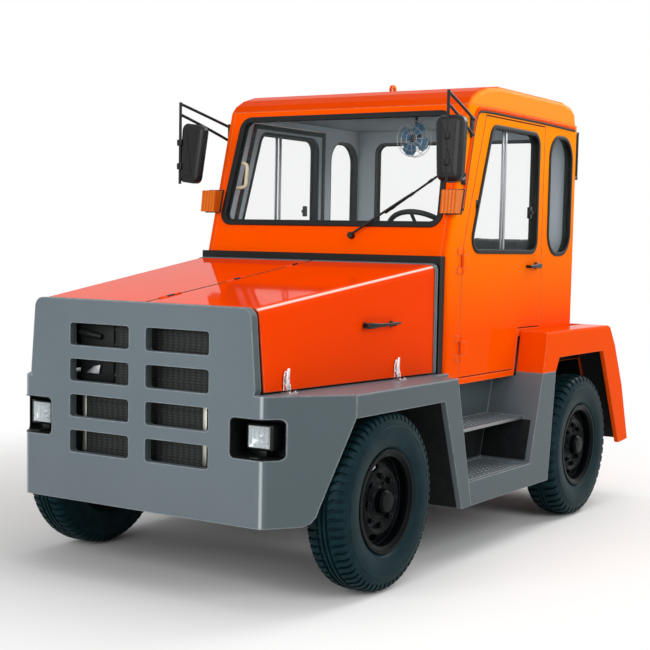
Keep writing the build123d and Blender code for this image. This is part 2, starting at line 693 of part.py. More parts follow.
# Roof: hollow cap with a sloping brow and a lifting eye
EYE_X = GUTTER_X - 483.0
EYE_Z = ROOF_Z + 26.0
EYE_R = 14.0
with BuildPart() as cab_roof:
    side_plate(
        [
            (GUTTER_X, GUTTER_Z),
            (GUTTER_X - 33, GUTTER_Z + 37),
            (GUTTER_X - 93, GUTTER_Z + 70),
            (GUTTER_X - 183, ROOF_Z - 18),
            (GUTTER_X - 323, ROOF_Z),
            (CAB_REAR_X + 180, ROOF_Z),
            (CAB_REAR_X + 70, ROOF_Z - 18),
            (CAB_REAR_X + 18, ROOF_Z - 50),
            (CAB_REAR_X, GUTTER_Z),
        ],
        -CAB_HALF,
        CAB_HALF,
    )
    roof_sides = cab_roof.edges().filter_by_position(Axis.Z, GUTTER_Z + 5, ROOF_Z + 1)
    roof_sides = roof_sides.filter_by(lambda e: abs(abs(e.center().Y) - CAB_HALF) < 0.5)
    fillet(roof_sides, radius=30)
    side_plate(
        [
            (GUTTER_X - 63, GUTTER_Z - 1),
            (GUTTER_X - 113, GUTTER_Z + 30),
            (GUTTER_X - 313, ROOF_Z - 40),
            (CAB_REAR_X + 180, ROOF_Z - 40),
            (CAB_REAR_X + 70, ROOF_Z - 70),
            (CAB_REAR_X + 40, GUTTER_Z - 1),
        ],
        -IN_WALL,
        IN_WALL,
        mode=Mode.SUBTRACT,
    )
    block(EYE_X - 18, EYE_X + 18, -7, 7, ROOF_Z - 8, EYE_Z)
    with BuildSketch(Plane.XZ.offset(-7)) as eye:
        with Locations((EYE_X, EYE_Z)):
            Circle(27)
    extrude(eye.sketch, amount=14)
    rod((EYE_X, -10, EYE_Z), (EYE_X, 10, EYE_Z), EYE_R, mode=Mode.SUBTRACT)
keep(cab_roof, "cab_roof")

# Floor: foot well, riser and raised seat platform
with BuildPart() as cab_floor:
    side_plate(
        [
            (CAB_FRONT_X - CAB_WALL, CAB_BASE_Z),
            (CAB_FRONT_X - CAB_WALL, CAB_BASE_Z + 20),
            (PLATFORM_X + 20, CAB_BASE_Z + 20),
            (PLATFORM_X + 20, PLATFORM_Z),
            (CAB_REAR_X + 30, PLATFORM_Z),
            (CAB_REAR_X + 30, PLATFORM_Z - 20),
            (PLATFORM_X, PLATFORM_Z - 20),
            (PLATFORM_X, CAB_BASE_Z),
        ],
        -IN_WALL,
        IN_WALL,
    )
keep(cab_floor, "cab_floor")

# Dashboard with the steering column
DRIVER_Y = IN_WALL - 325.0
WHEEL_C = (CAB_FRONT_X - 425.0, DRIVER_Y, BROW_Z + 100.0)
COLUMN_FOOT = (CAB_FRONT_X - 125.0, DRIVER_Y, BROW_Z - 245.0)
HUB_DROP = 22.0
column_axis = (Vector(*WHEEL_C) - Vector(*COLUMN_FOOT)).normalized()
column_end = Vector(*WHEEL_C) - column_axis * (HUB_DROP + SEAT_GAP)
wall_in_x = CAB_FRONT_X - CAB_WALL
with BuildPart() as dashboard:
    side_plate(
        [
            (wall_in_x, BROW_Z - 310),
            (wall_in_x, BROW_Z - 6),
            (wall_in_x - 29, BROW_Z + 100),
            (wall_in_x - 85, BROW_Z + 100),
            (wall_in_x - 155, BROW_Z + 40),
            (wall_in_x - 165, BROW_Z - 20),
            (wall_in_x - 105, BROW_Z - 100),
            (wall_in_x - 85, BROW_Z - 310),
        ],
        35 - IN_WALL,
        IN_WALL - 35,
    )
    rod(COLUMN_FOOT, tuple(column_end), 30)
keep(dashboard, "dashboard")

# Steering wheel: rim, hub and three spokes
WHEEL_R = 205.0
with BuildPart() as steering_wheel:
    wheel_plane = Plane(origin=WHEEL_C, x_dir=(0, 1, 0), z_dir=column_axis)
    with BuildSketch(wheel_plane.offset(-14)) as ring:
        Circle(WHEEL_R)
        Circle(WHEEL_R - 27, mode=Mode.SUBTRACT)
    extrude(amount=28)
    with BuildSketch(wheel_plane.offset(-HUB_DROP)) as hub:
        Circle(42)
    extrude(amount=34)
    with BuildSketch(wheel_plane.offset(-8)) as spokes:
        for angle in (90, 210, 330):
            with Locations(Rot(0, 0, angle) * Pos(WHEEL_R / 2 + 7, 0, 0)):
                Rectangle(WHEEL_R - 55, 28)
    extrude(amount=14)
keep(steering_wheel, "steering_wheel")

# Driver's seat: base, cushion and back rest
with BuildPart() as driver_seat:
    seat_x = CAB_REAR_X + 120.0
    seat_z = PLATFORM_Z + 110.0
    block(seat_x + 60, seat_x + 360, DRIVER_Y - 160, DRIVER_Y + 160, PLATFORM_Z, seat_z)
    block(seat_x, seat_x + 440, DRIVER_Y - 240, DRIVER_Y + 240, seat_z, seat_z + 100)
    side_plate(
        [
            (seat_x + 90, seat_z + 95),
            (seat_x + 15, seat_z + 400),
            (seat_x - 55, seat_z + 400),
            (seat_x, seat_z + 10),
        ],
        DRIVER_Y - 230,
        DRIVER_Y + 230,
    )
    fillet(driver_seat.edges().filter_by(Axis.Y).group_by(Axis.Z)[-1], radius=25)
keep(driver_seat, "driver_seat")

# Small cab fan hung from the roof
FAN_X = GUTTER_X - 183.0
FAN_Y = IN_WALL - 350.0
FAN_Z = GUTTER_Z - 147.0
FAN_R = 92.0
with BuildPart() as cab_fan:
    rod((FAN_X, FAN_Y, FAN_Z), (FAN_X + 65, FAN_Y, FAN_Z), FAN_R)
    rod((FAN_X + 20, FAN_Y, FAN_Z + 8), (FAN_X + 20, FAN_Y, GUTTER_Z + 38.7), 9)
keep(cab_fan, "cab_fan")

# Windows
with BuildPart() as windscreen:
    side_plate(
        [
            (glass_x(BROW_Z + 100) - 23, BROW_Z + 100),
            (glass_x(GUTTER_Z - 15) - 23, GUTTER_Z - 15),
            (glass_x(GUTTER_Z - 15) - 17, GUTTER_Z - 15),
            (glass_x(BROW_Z + 100) - 17, BROW_Z + 100),
        ],
        15 - IN_WALL,
        IN_WALL - 15,
    )
    cross_plate(SCREEN, GUTTER_X - 103, CAB_FRONT_X + 105, mode=Mode.INTERSECT, radius=55)
keep(windscreen, "windscreen")

with BuildPart() as rear_window:
    cross_plate(REAR_GLASS, CAB_REAR_X + 17, CAB_REAR_X + 23, radius=60)
keep(rear_window, "rear_window")

with BuildPart() as quarter_windows:
    for side in (-1, 1):
        pane_y = side * (CAB_HALF - 20.0)
        with BuildSketch(Plane.XZ.offset(-pane_y - 3)) as pane:
            with Locations((QUARTER_X, QUARTER_Z)):
                RectangleRounded(QUARTER_W, QUARTER_H, QUARTER_R)
        extrude(pane.sketch, amount=6)
keep(quarter_windows, "quarter_windows")

# Door: panel as thick as the wall, window cut and hinge leaves
with BuildPart() as door_left:
    side_plate(DOOR_LINE, IN_WALL, CAB_HALF)
    rounded_side_cut(DOOR_GLASS, 70, IN_WALL - 5, CAB_HALF + 5)
    for hinge_z in HINGE_TABLE:
        block(HINGE_X - 60, HINGE_X, CAB_HALF - 1, CAB_HALF + 7, hinge_z - 30, hinge_z + 30)
        rod((HINGE_X, HINGE_Y, hinge_z - 30), (HINGE_X, HINGE_Y, hinge_z + 30), HINGE_R)
keep(door_left, "door_left")

with BuildPart() as door_window_left:
    rounded_side_cut(DOOR_GLASS, 70, CAB_HALF - 28, CAB_HALF - 16, mode=Mode.ADD)
    pane_x = DOOR_REAR_X + 423.0
    pane_z = (BROW_Z, GUTTER_Z - 55)
    block(DOOR_REAR_X, pane_x, CAB_HALF - 22, CAB_HALF - 10, *pane_z, mode=Mode.SUBTRACT)
    block(pane_x + 30, DOOR_FRONT_X, CAB_HALF - 34, CAB_HALF - 22, *pane_z, mode=Mode.SUBTRACT)
keep(door_window_left, "door_window_left")

with BuildPart() as door_handle_left:
    pull_x = DOOR_REAR_X + 50.0
    pull_z = BROW_Z - 48.0
    block(pull_x, pull_x + 145, CAB_HALF + 22, CAB_HALF + 36, pull_z, pull_z + 26)
    for post_x in (pull_x + 10, pull_x + 125):
        block(post_x - 10, post_x + 14, CAB_HALF, CAB_HALF + 24, pull_z + 2, pull_z + 24)
keep(door_handle_left, "door_handle_left")

# Wiper on the windscreen
PIVOT_Z = BROW_Z + 98.0
PIVOT_Y = CAB_HALF - 545.0
ARM_Z = PIVOT_Z + 205.0
BLADE_LOW = PIVOT_Z + 114.0
BLADE_HIGH = PIVOT_Z + 297.0
with BuildPart() as wiper:
    rod((glass_x(PIVOT_Z - 16) + SEAT_GAP, PIVOT_Y, PIVOT_Z), (glass_x(PIVOT_Z) + 26, PIVOT_Y, PIVOT_Z), 16)
    rod((glass_x(PIVOT_Z) + 18, PIVOT_Y, PIVOT_Z), (glass_x(ARM_Z) - 3, PIVOT_Y + 295, ARM_Z), 6)
    blade_low = (glass_x(BLADE_LOW) - 9, PIVOT_Y + 164, BLADE_LOW)
    blade_high = (glass_x(BLADE_HIGH) - 9, PIVOT_Y + 428, BLADE_HIGH)
    rod(blade_low, blade_high, 7)
keep(wiper, "wiper")

# Mirrors: heads, rods and arms, one set each side
MIRROR_X = CAB_FRONT_X + 105.0
MIRROR_LOW = GUTTER_Z - 390.0
MIRROR_HIGH = GUTTER_Z + 31.0
HEAD_HALF = 75.0
HEAD_TAPER = 12.0
HEAD_R = 36.0
# Columns: side, pole and head outboard of the cab's wall, whether there is a lower arm
MIRROR_TABLE = [(1, 42.0, 50.0, True), (-1, 85.0, 18.0, False)]
with BuildPart() as mirrors:
    for side, pole_out, head_out, has_lower_arm in MIRROR_TABLE:
        foot_y = side * (CAB_HALF + 8 + SEAT_GAP)
        pole_y = side * (CAB_HALF + pole_out)
        head_y = side * (CAB_HALF + head_out)
        foot_high = MIRROR_HIGH - 106.0
        foot_brace = foot_high - 68.0
        rod((MIRROR_X, pole_y, MIRROR_LOW), (MIRROR_X, pole_y, MIRROR_HIGH), 8)
        rod((MIRROR_X, pole_y, MIRROR_HIGH - 8), (glass_x(foot_high) - 40, foot_y, foot_high), 8)
        rod((MIRROR_X, pole_y, MIRROR_HIGH - 62), (glass_x(foot_brace) - 40, foot_y, foot_brace), 8)
        if has_lower_arm:
            foot_low = MIRROR_LOW + 33.0
            rod((MIRROR_X, pole_y, MIRROR_LOW + 11), (glass_x(foot_low) - 30, foot_y, foot_low), 8)
        head_low = MIRROR_LOW + 9.0
        head_high = MIRROR_HIGH - 112.0
        head = [
            (head_y - HEAD_HALF + HEAD_TAPER, head_low),
            (head_y + HEAD_HALF - HEAD_TAPER, head_low),
            (head_y + HEAD_HALF, head_high),
            (head_y - HEAD_HALF, head_high),
        ]
        cross_plate(head, MIRROR_X - 30, MIRROR_X + 14, radius=HEAD_R)
keep(mirrors, "mirrors")

# Amber direction lamps on the cab's front corners
TURN_LOW = BROW_Z + 212.0
TURN_HIGH = TURN_LOW + 110.0
with BuildPart() as indicators:
    for side in (-1, 1):
        lamp_y = sorted((side * (CAB_HALF - 50), side * (CAB_HALF + 36)))
        side_plate(
            [
                (glass_x(TURN_LOW) + SEAT_GAP, TURN_LOW),
                (glass_x(TURN_HIGH) + SEAT_GAP, TURN_HIGH),
                (glass_x(TURN_HIGH) + 72, TURN_HIGH),
                (glass_x(TURN_HIGH) + 84, TURN_LOW),
            ],
            lamp_y[0],
            lamp_y[1],
        )
keep(indicators, "indicators")

# Grab rails on the cab's rear corners
GRAB_LOW = GUTTER_Z - 293.0
GRAB_HIGH = GUTTER_Z - 31.0
with BuildPart() as grab_rails:
    for side in (-1, 1):
        rail_y = side * (IN_WALL + 25)
        for end_z in (GRAB_LOW + 8, GRAB_HIGH - 8):
            rod((CAB_REAR_X, rail_y, end_z), (CAB_REAR_X - 52, rail_y, end_z), 10)
        rod((CAB_REAR_X - 44, rail_y, GRAB_LOW), (CAB_REAR_X - 44, rail_y, GRAB_HIGH), 10)
keep(grab_rails, "grab_rails")

# Rubber seal between the bonnet and the cab
SEAL_FRONT_X = CAB_FRONT_X + 45.0
SEAL_BAND = 45.0
with BuildPart() as cowl_seal:
    half = BONNET_REAR_HALF
    top = BONNET_REAR_Z + 36
    cross_plate(
        [(-half, FENDER_TOP), (half, FENDER_TOP), (half, top), (-half, top)],
        CAB_FRONT_X,
        SEAL_FRONT_X,
    )
    half = half - SEAL_BAND
    top = BONNET_REAR_Z + 8 - SEAL_BAND
    low = FENDER_TOP - 10
    cross_plate(
        [(-half, low), (half, low), (half, top), (-half, top)],
        CAB_FRONT_X - 5,
        SEAL_FRONT_X + 5,
        mode=Mode.SUBTRACT,
    )
keep(cowl_seal, "cowl_seal")


# Bonnet half: sloping top and side, hinged on the centre ridge
def ridge_z(x):
    """Height of the bonnet's centre ridge at one station."""
    return FRONT_TOP + RIDGE_RISE * (BONNET_FRONT_X - x)


def bonnet_outline(x, inset, drop):
    """Closed outline of the left bonnet half at one station, in Y and Z."""
    share = (BONNET_FRONT_X - x) / (BONNET_FRONT_X - BONNET_REAR_X)
    top_half = FRONT_TOP_HALF + (BONNET_REAR_HALF - FRONT_TOP_HALF) * share - inset
    low_half = FRONT_LOW_HALF + (BONNET_REAR_HALF + 2.0 - FRONT_LOW_HALF) * share - inset
    top_z = ridge_z(x) - inset
    inner_y = RIDGE_HALF - 3.0 * drop
    return [
        (inner_y, top_z),
        (top_half - 26.0, top_z),
        (top_half - 8.0, top_z - 8.0),
        (top_half, top_z - 26.0),
        (low_half, BONNET_LOW_Z - drop),
        (inner_y, BONNET_LOW_Z - drop),
    ]


HINGE_STATIONS = [
    BONNET_FRONT_X - 152.0,
    (BONNET_FRONT_X + BONNET_REAR_X) / 2,
    BONNET_REAR_X + 153.0,
]
BARREL_L = 46.0
BARREL_GAP = 1.0


def bonnet_barrels(side):
    """Hinge barrels of one half, before the rail's own for the left and behind for the right."""
    for station in HINGE_STATIONS:
        near = station + side * (BARREL_L / 2 + BARREL_GAP)
        x_a, x_b = sorted((near, near + side * BARREL_L))
        rod((x_a, 0, ridge_z(x_a)), (x_b, 0, ridge_z(x_b)), BARREL_R)
        leaf_y = sorted((0, side * (RIDGE_HALF + 3)))
        side_plate(
            [
                (x_a, ridge_z(x_a) - BARREL_R),
                (x_b, ridge_z(x_b) - BARREL_R),
                (x_b, ridge_z(x_b) - 1),
                (x_a, ridge_z(x_a) - 1),
            ],
            leaf_y[0],
            leaf_y[1],
        )


with BuildPart() as bonnet_skin:
    for inset, drop, mode in ((0.0, 0.0, Mode.ADD), (BONNET_T, 10.0, Mode.SUBTRACT)):
        sections = []
        for station in (BONNET_REAR_X - drop, BONNET_FRONT_X + drop):
            with BuildSketch(Plane.YZ.offset(station)) as section:
                Polygon(*bonnet_outline(station, inset, drop), align=None)
            sections.append(section.sketch.face())
        loft(sections, ruled=True, mode=mode)

with BuildPart() as bonnet_left:
    add(bonnet_skin.part)
    bonnet_barrels(1)
keep(bonnet_left, "bonnet_left")

with BuildPart() as bonnet_right:
    mirror(bonnet_skin.part, about=Plane.XZ)
    bonnet_barrels(-1)
keep(bonnet_right, "bonnet_right")

# Centre rail that carries both bonnet halves on its hinge barrels
RAIL_DROP = BONNET_T + 6.0
with BuildPart() as bonnet_rail:
    x_a = SEAL_FRONT_X
    x_b = BUMPER_BACK
    side_plate(
        [
            (x_a, ridge_z(x_a) - RAIL_DROP - 26),
            (x_b, ridge_z(x_b) - RAIL_DROP - 26),
            (x_b, ridge_z(x_b) - RAIL_DROP),
            (x_a, ridge_z(x_a) - RAIL_DROP),
        ],
        -20,
        20,
    )
    for station in HINGE_STATIONS:
        x_a = station - BARREL_L / 2
        x_b = station + BARREL_L / 2
        rod((x_a, 0, ridge_z(x_a)), (x_b, 0, ridge_z(x_b)), BARREL_R)
        side_plate(
            [
                (x_a, ridge_z(x_a) - RAIL_DROP - 4),
                (x_b, ridge_z(x_b) - RAIL_DROP - 4),
                (x_b, ridge_z(x_b) - 2),
                (x_a, ridge_z(x_a) - 2),
            ],
            -3,
            3,
        )
keep(bonnet_rail, "bonnet_rail")


# Pull handle on the bonnet's side
def bonnet_side_y(x, z):
    """Outer face of the bonnet's side at one station and height."""
    ring = bonnet_outline(x, 0.0, 0.0)
    (y_top, z_top), (y_low, z_low) = ring[3], ring[4]
    return y_top + (y_low - y_top) * (z_top - z) / (z_top - z_low)


HANDLE_Z = FENDER_TOP + 249.0
HANDLE_X = (BONNET_REAR_X + 574.0, BONNET_REAR_X + 352.0)
with BuildPart() as bonnet_handle_left:
    bar = [(x, bonnet_side_y(x, HANDLE_Z) + 34.0, HANDLE_Z) for x in HANDLE_X]
    rod((bar[0][0] + 14, bar[0][1], HANDLE_Z), (bar[1][0] - 14, bar[1][1], HANDLE_Z), 11)
    for x, y, z in bar:
        rod((x, bonnet_side_y(x - 9, HANDLE_Z - 9) + SEAT_GAP, z), (x, y, z), 9)
keep(bonnet_handle_left, "bonnet_handle_left")

# Latch keepers on the fender tops, below the bonnet's edge
LATCH_STATIONS = [BONNET_FRONT_X - 126.0, BONNET_REAR_X + 330.0]
LATCH_HIGH = FENDER_TOP + 100.0
LATCH_HALF = 15.0
KEEPER_T = 4.0
with BuildPart() as bonnet_latches:
    for side in (-1, 1):
        for latch_x in LATCH_STATIONS:
            keeper_y = bonnet_side_y(latch_x, BONNET_LOW_Z)
            y_a = sorted((side * keeper_y, side * (keeper_y + 44)))
            block(latch_x - 30, latch_x + 30, y_a[0], y_a[1], FENDER_TOP, FENDER_TOP + KEEPER_T)
keep(bonnet_latches, "bonnet_latches")

# Over-centre levers on the bonnet's side, above their keepers
with BuildPart() as latch_levers_left:
    latch_low = BONNET_LOW_Z + 1.0
    for latch_x in LATCH_STATIONS:
        latch_y = bonnet_side_y(latch_x - LATCH_HALF, latch_low) + SEAT_GAP
        side_plate(
            [
                (latch_x - LATCH_HALF, latch_low),
                (latch_x + LATCH_HALF, latch_low),
                (latch_x + LATCH_HALF, latch_low + 34),
                (latch_x + 5, LATCH_HIGH - 14),
                (latch_x - 5, LATCH_HIGH - 14),
                (latch_x - LATCH_HALF, latch_low + 34),
            ],
            latch_y,
            latch_y + 8,
        )
        cross_plate(
            [
                (latch_y + 6, latch_low),
                (latch_y + 20, latch_low),
                (latch_y + 16, latch_low + 44),
                (latch_y + 20, LATCH_HIGH),
                (latch_y + 14, LATCH_HIGH),
                (latch_y + 6, latch_low + 48),
            ],
            latch_x - 9,
            latch_x + 9,
        )
keep(latch_levers_left, "latch_levers_left")

# Front axle: beam, kingpin eyes, leaf springs
EYE_OUT_R = 42.0
LEAF_HALF = 290.0
LEAF_COUNT = 5
LEAF_T = 8.0
LEAF_STEP = 46.0
leaf_in = RAIL_Y + 2.0
leaf_out = RAIL_Y + RAIL_W - 2.0


def leaf_pack(axle_x, side, z_low):
    """Stepped leaf spring of one wheel, with the shackles at its ends."""
    leaf_y = sorted((side * leaf_in, side * leaf_out))
    pack_high = z_low + LEAF_COUNT * LEAF_T
    for leaf in range(LEAF_COUNT):
        half = LEAF_HALF - LEAF_STEP * (LEAF_COUNT - 1 - leaf)
        leaf_low = z_low + leaf * LEAF_T
        block(axle_x - half, axle_x + half, leaf_y[0], leaf_y[1], leaf_low, leaf_low + LEAF_T)
    for end_x in (axle_x - LEAF_HALF + 15, axle_x + LEAF_HALF - 15):
        block(end_x - 15, end_x + 15, leaf_y[0], leaf_y[1], pack_high - 5, RAIL_LOW)


with BuildPart() as front_axle:
    block(FRONT_AXLE_X - 50, FRONT_AXLE_X + 50, 25 - KINGPIN_Y, KINGPIN_Y - 25, TYRE_R - 40, TYRE_R + 40)
    for side in (-1, 1):
        with Locations((FRONT_AXLE_X, side * KINGPIN_Y, TYRE_R)):
            Cylinder(EYE_OUT_R, 130)
        leaf_pack(FRONT_AXLE_X, side, TYRE_R + 40)
    for side in (-1, 1):
        with Locations((FRONT_AXLE_X, side * KINGPIN_Y, TYRE_R)):
            Cylinder(KINGPIN_R + SEAT_GAP, 140, mode=Mode.SUBTRACT)
keep(front_axle, "front_axle")

# Steering knuckle: fork, kingpin, steering arm and stub shaft
FORK_BACK = EYE_OUT_R + 8.0
FORK_T = 22.0
HUB_IN_Y = KINGPIN_Y + FORK_BACK + FORK_T + 9.0
HUB_BORE_END = TRACK_Y + 30.0
with BuildPart() as knuckle_left:
    for lug_low, lug_high in ((-100.0, -73.0), (73.0, 100.0)):
        block(
            FRONT_AXLE_X - 42,
            FRONT_AXLE_X + 42,
            KINGPIN_Y - 40,
            KINGPIN_Y + FORK_BACK + FORK_T,
            TYRE_R + lug_low,
            TYRE_R + lug_high,
        )
    block(
        FRONT_AXLE_X - 42,
        FRONT_AXLE_X + 42,
        KINGPIN_Y + FORK_BACK,
        KINGPIN_Y + FORK_BACK + FORK_T,
        TYRE_R - 95,
        TYRE_R + 95,
    )
    rod((FRONT_AXLE_X, KINGPIN_Y, TYRE_R - 85), (FRONT_AXLE_X, KINGPIN_Y, TYRE_R + 85), KINGPIN_R)
    rod(
        (FRONT_AXLE_X, KINGPIN_Y + FORK_BACK + 5, TYRE_R),
        (FRONT_AXLE_X, HUB_BORE_END - 4, TYRE_R),
        STUB_R,
    )
    block(FRONT_AXLE_X - 150, FRONT_AXLE_X - 30, KINGPIN_Y - 38, KINGPIN_Y - 14, TYRE_R - 97, TYRE_R - 77)
keep(knuckle_left, "knuckle_left")

# Rear axle: tube, differential and leaf springs
with BuildPart() as rear_axle:
    tube_end = HUB_IN_Y - 12.0
    rod((REAR_AXLE_X, -tube_end, TYRE_R), (REAR_AXLE_X, tube_end, TYRE_R), 62)
    rod((REAR_AXLE_X, -105, TYRE_R), (REAR_AXLE_X, 105, TYRE_R), 165)
    rod((REAR_AXLE_X, 4 - HUB_BORE_END, TYRE_R), (REAR_AXLE_X, HUB_BORE_END - 4, TYRE_R), STUB_R)
    for side in (-1, 1):
        leaf_pack(REAR_AXLE_X, side, TYRE_R + 55)
keep(rear_axle, "rear_axle")

# Wheel rims: barrel, dished disc with hand holes, hub with a blind bore
BEAD_HALF = 67.0
bead_in = TRACK_Y - BEAD_HALF
bead_out = TRACK_Y + BEAD_HALF
RIM_SECTION = [
    (STUB_R + SEAT_GAP, HUB_IN_Y),
    (80.0, HUB_IN_Y),
    (80.0, TRACK_Y + 17),
    (135.0, TRACK_Y + 37),
    (BEAD_R - 17, TRACK_Y + 15),
    (BEAD_R - 17, bead_in - 4),
    (BEAD_R + 3, bead_in - 14),
    (RIM_R, bead_in - 14),
    (RIM_R, bead_in - 6),
    (BEAD_R, bead_in),
    (BEAD_R, bead_out),
    (RIM_R, bead_out + 6),
    (RIM_R, bead_out + 14),
    (BEAD_R + 3, bead_out + 14),
    (BEAD_R - 13, bead_out),
    (BEAD_R - 15, TRACK_Y + 31),
    (135.0, TRACK_Y + 51),
    (84.0, TRACK_Y + 33),
    (64.0, TRACK_Y + 39),
    (54.0, TRACK_Y + 46),
    (50.0, TRACK_Y + 74),
    (42.0, TRACK_Y + 85),
    (0.0, TRACK_Y + 87),
    (0.0, HUB_BORE_END),
    (STUB_R + SEAT_GAP, HUB_BORE_END),
]
with BuildPart() as rim_front_left:
    turned(RIM_SECTION, FRONT_AXLE_X, TYRE_R)
    with BuildSketch(Plane.XZ.offset(-TRACK_Y - 105)) as holes:
        with Locations((FRONT_AXLE_X, TYRE_R)):
            with PolarLocations(158, 5):
                SlotOverall(60, 28, rotation=90)
    extrude(holes.sketch, amount=110, mode=Mode.SUBTRACT)
keep(rim_front_left, "rim_front_left")

# Tyre: crowned tread, rounded shoulders and bulged walls
WALL_TABLE = [
    (BEAD_R + SEAT_GAP, 0.67),
    (RIM_R + SEAT_GAP, 0.74),
    (250.0, 0.92),
    (290.0, 1.0),
    (325.0, 0.98),
    (352.0, 0.89),
    (TYRE_R - 15, 0.77),
    (TYRE_R - 5, 0.61),
    (TYRE_R, 0.31),
]
tyre_half = TYRE_W / 2
inner_wall = [(radius, TRACK_Y - share * tyre_half) for radius, share in WALL_TABLE]
outer_wall = [(radius, TRACK_Y + share * tyre_half) for radius, share in WALL_TABLE]
with BuildPart() as tyre_front_left:
    turned(inner_wall + outer_wall[::-1], FRONT_AXLE_X, TYRE_R)
keep(tyre_front_left, "tyre_front_left")

# Rear wheels on the left: the front pieces moved back
wheel_back = REAR_AXLE_X - FRONT_AXLE_X
with BuildPart() as rim_rear_left:
    add(rim_front_left.part.moved(Location((wheel_back, 0, 0))))
keep(rim_rear_left, "rim_rear_left")
with BuildPart() as tyre_rear_left:
    add(tyre_front_left.part.moved(Location((wheel_back, 0, 0))))
keep(tyre_rear_left, "tyre_rear_left")

# Right-hand pieces, mirrored from the left
left_pieces = [
    (front_fender_left, "front_fender_right"),
    (step_box_left, "step_box_right"),
    (rear_fender_left, "rear_fender_right"),
    (cab_side_left, "cab_side_right"),
    (door_left, "door_right"),
    (door_window_left, "door_window_right"),
    (door_handle_left, "door_handle_right"),
    (bonnet_handle_left, "bonnet_handle_right"),
    (latch_levers_left, "latch_levers_right"),
    (knuckle_left, "knuckle_right"),
    (rim_front_left, "rim_front_right"),
    (tyre_front_left, "tyre_front_right"),
    (rim_rear_left, "rim_rear_right"),
    (tyre_rear_left, "tyre_rear_right"),
]
for source, label in left_pieces:
    with BuildPart() as right_piece:
        mirror(source.part, about=Plane.XZ)
    keep(right_piece, label)

for label, shape in made:
    export_step(shape, f"parts/{label}.step")
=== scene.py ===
"""Closed-cab tow tractor: studio, finishes and the pieces that dress its CAD frame.

Everything is in metres in the CAD's own frame: +X forwards, +Y to the driver's left, +Z up.
"""

import json
import logging
import math
from dataclasses import dataclass, field
from enum import Enum
from typing import Callable, Sequence

import bpy
from mathutils import Matrix, Vector


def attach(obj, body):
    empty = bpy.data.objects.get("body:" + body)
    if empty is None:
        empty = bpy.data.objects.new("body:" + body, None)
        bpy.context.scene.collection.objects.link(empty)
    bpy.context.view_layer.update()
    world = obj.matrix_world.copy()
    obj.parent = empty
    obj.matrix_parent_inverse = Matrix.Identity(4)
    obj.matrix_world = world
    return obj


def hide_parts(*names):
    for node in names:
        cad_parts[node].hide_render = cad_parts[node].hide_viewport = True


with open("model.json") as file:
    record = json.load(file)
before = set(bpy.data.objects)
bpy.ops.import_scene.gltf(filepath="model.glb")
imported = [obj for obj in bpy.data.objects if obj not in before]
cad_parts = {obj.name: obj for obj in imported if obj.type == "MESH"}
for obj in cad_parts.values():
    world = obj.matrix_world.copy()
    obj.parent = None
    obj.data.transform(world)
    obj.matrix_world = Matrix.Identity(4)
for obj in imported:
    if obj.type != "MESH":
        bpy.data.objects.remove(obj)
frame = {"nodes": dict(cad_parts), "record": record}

LOG = logging.getLogger("tow_tractor")
Piece = bpy.types.Object
Point = Sequence[float]


class Side(Enum):
    """The driver's left, where Y is positive, and right."""

    LEFT = 1
    RIGHT = -1


class Way(Enum):
    """Directions used for bores, prisms and turned pieces."""

    FORWARDS = (1.0, 0.0, 0.0)
    LEFTWARDS = (0.0, 1.0, 0.0)
    UPWARDS = (0.0, 0.0, 1.0)


@dataclass(frozen=True)
class Layout:
    """Main stations, half widths and heights of the tractor."""

    tyre_r: float = 0.385
    track_y: float = 0.775
    front_axle_x: float = 1.140
    rear_axle_x: float = -0.925
    fender_top: float = 0.863
    cab_half: float = 0.715
    cab_wall: float = 0.040
    cab_front_x: float = 0.395
    cab_rear_x: float = -1.080
    brow_z: float = 1.400
    gutter_x: float = 0.203
    gutter_z: float = 2.135
    bonnet_front_x: float = 1.692
    bonnet_rear_x: float = 0.462
    bonnet_low_z: float = 0.872
    bonnet_top_y: tuple[float, float] = (0.577, 0.700)
    bonnet_low_y: tuple[float, float] = (0.607, 0.702)
    bonnet_top_z: float = 1.206
    bonnet_rise: float = 0.170

    def screen_x(self, z: float) -> float:
        """Station of the windscreen frame's outer face.

        Args:
            z: Height.

        Returns:
            The X station at that height.
        """
        share = (z - self.brow_z) / (self.gutter_z - self.brow_z)
        return self.cab_front_x + (self.gutter_x - self.cab_front_x) * share

    def bonnet_edge(self, x: float, proud: float = 0.0) -> list[tuple[float, float]]:
        """Outline of the left bonnet half from the ridge to its lower edge.

        Args:
            x: Station along the bonnet.
            proud: How far outside the sheet the line runs.

        Returns:
            Points in Y and Z.
        """
        share = (self.bonnet_front_x - x) / (self.bonnet_front_x - self.bonnet_rear_x)
        top_front, top_rear = self.bonnet_top_y
        low_front, low_rear = self.bonnet_low_y
        top_y = top_front + (top_rear - top_front) * share + proud
        low_y = low_front + (low_rear - low_front) * share + proud
        top_z = self.bonnet_top_z + self.bonnet_rise * share + proud
        return [
            (0.012, top_z),
            (top_y - 0.026, top_z),
            (top_y - 0.008, top_z - 0.008),
            (top_y, top_z - 0.026),
            (low_y, self.bonnet_low_z),
        ]


def linear(colour: str) -> tuple[float, float, float, float]:
    """Turn an sRGB hex colour into the linear one that shaders take.

    Args:
        colour: Six hex digits after a hash sign.

    Returns:
        Red, green and blue in linear light, and full alpha.
    """
    parts = [int(colour[i : i + 2], 16) / 255 for i in (1, 3, 5)]
    r, g, b = [c / 12.92 if c <= 0.04045 else ((c + 0.055) / 1.055) ** 2.4 for c in parts]
    return r, g, b, 1.0


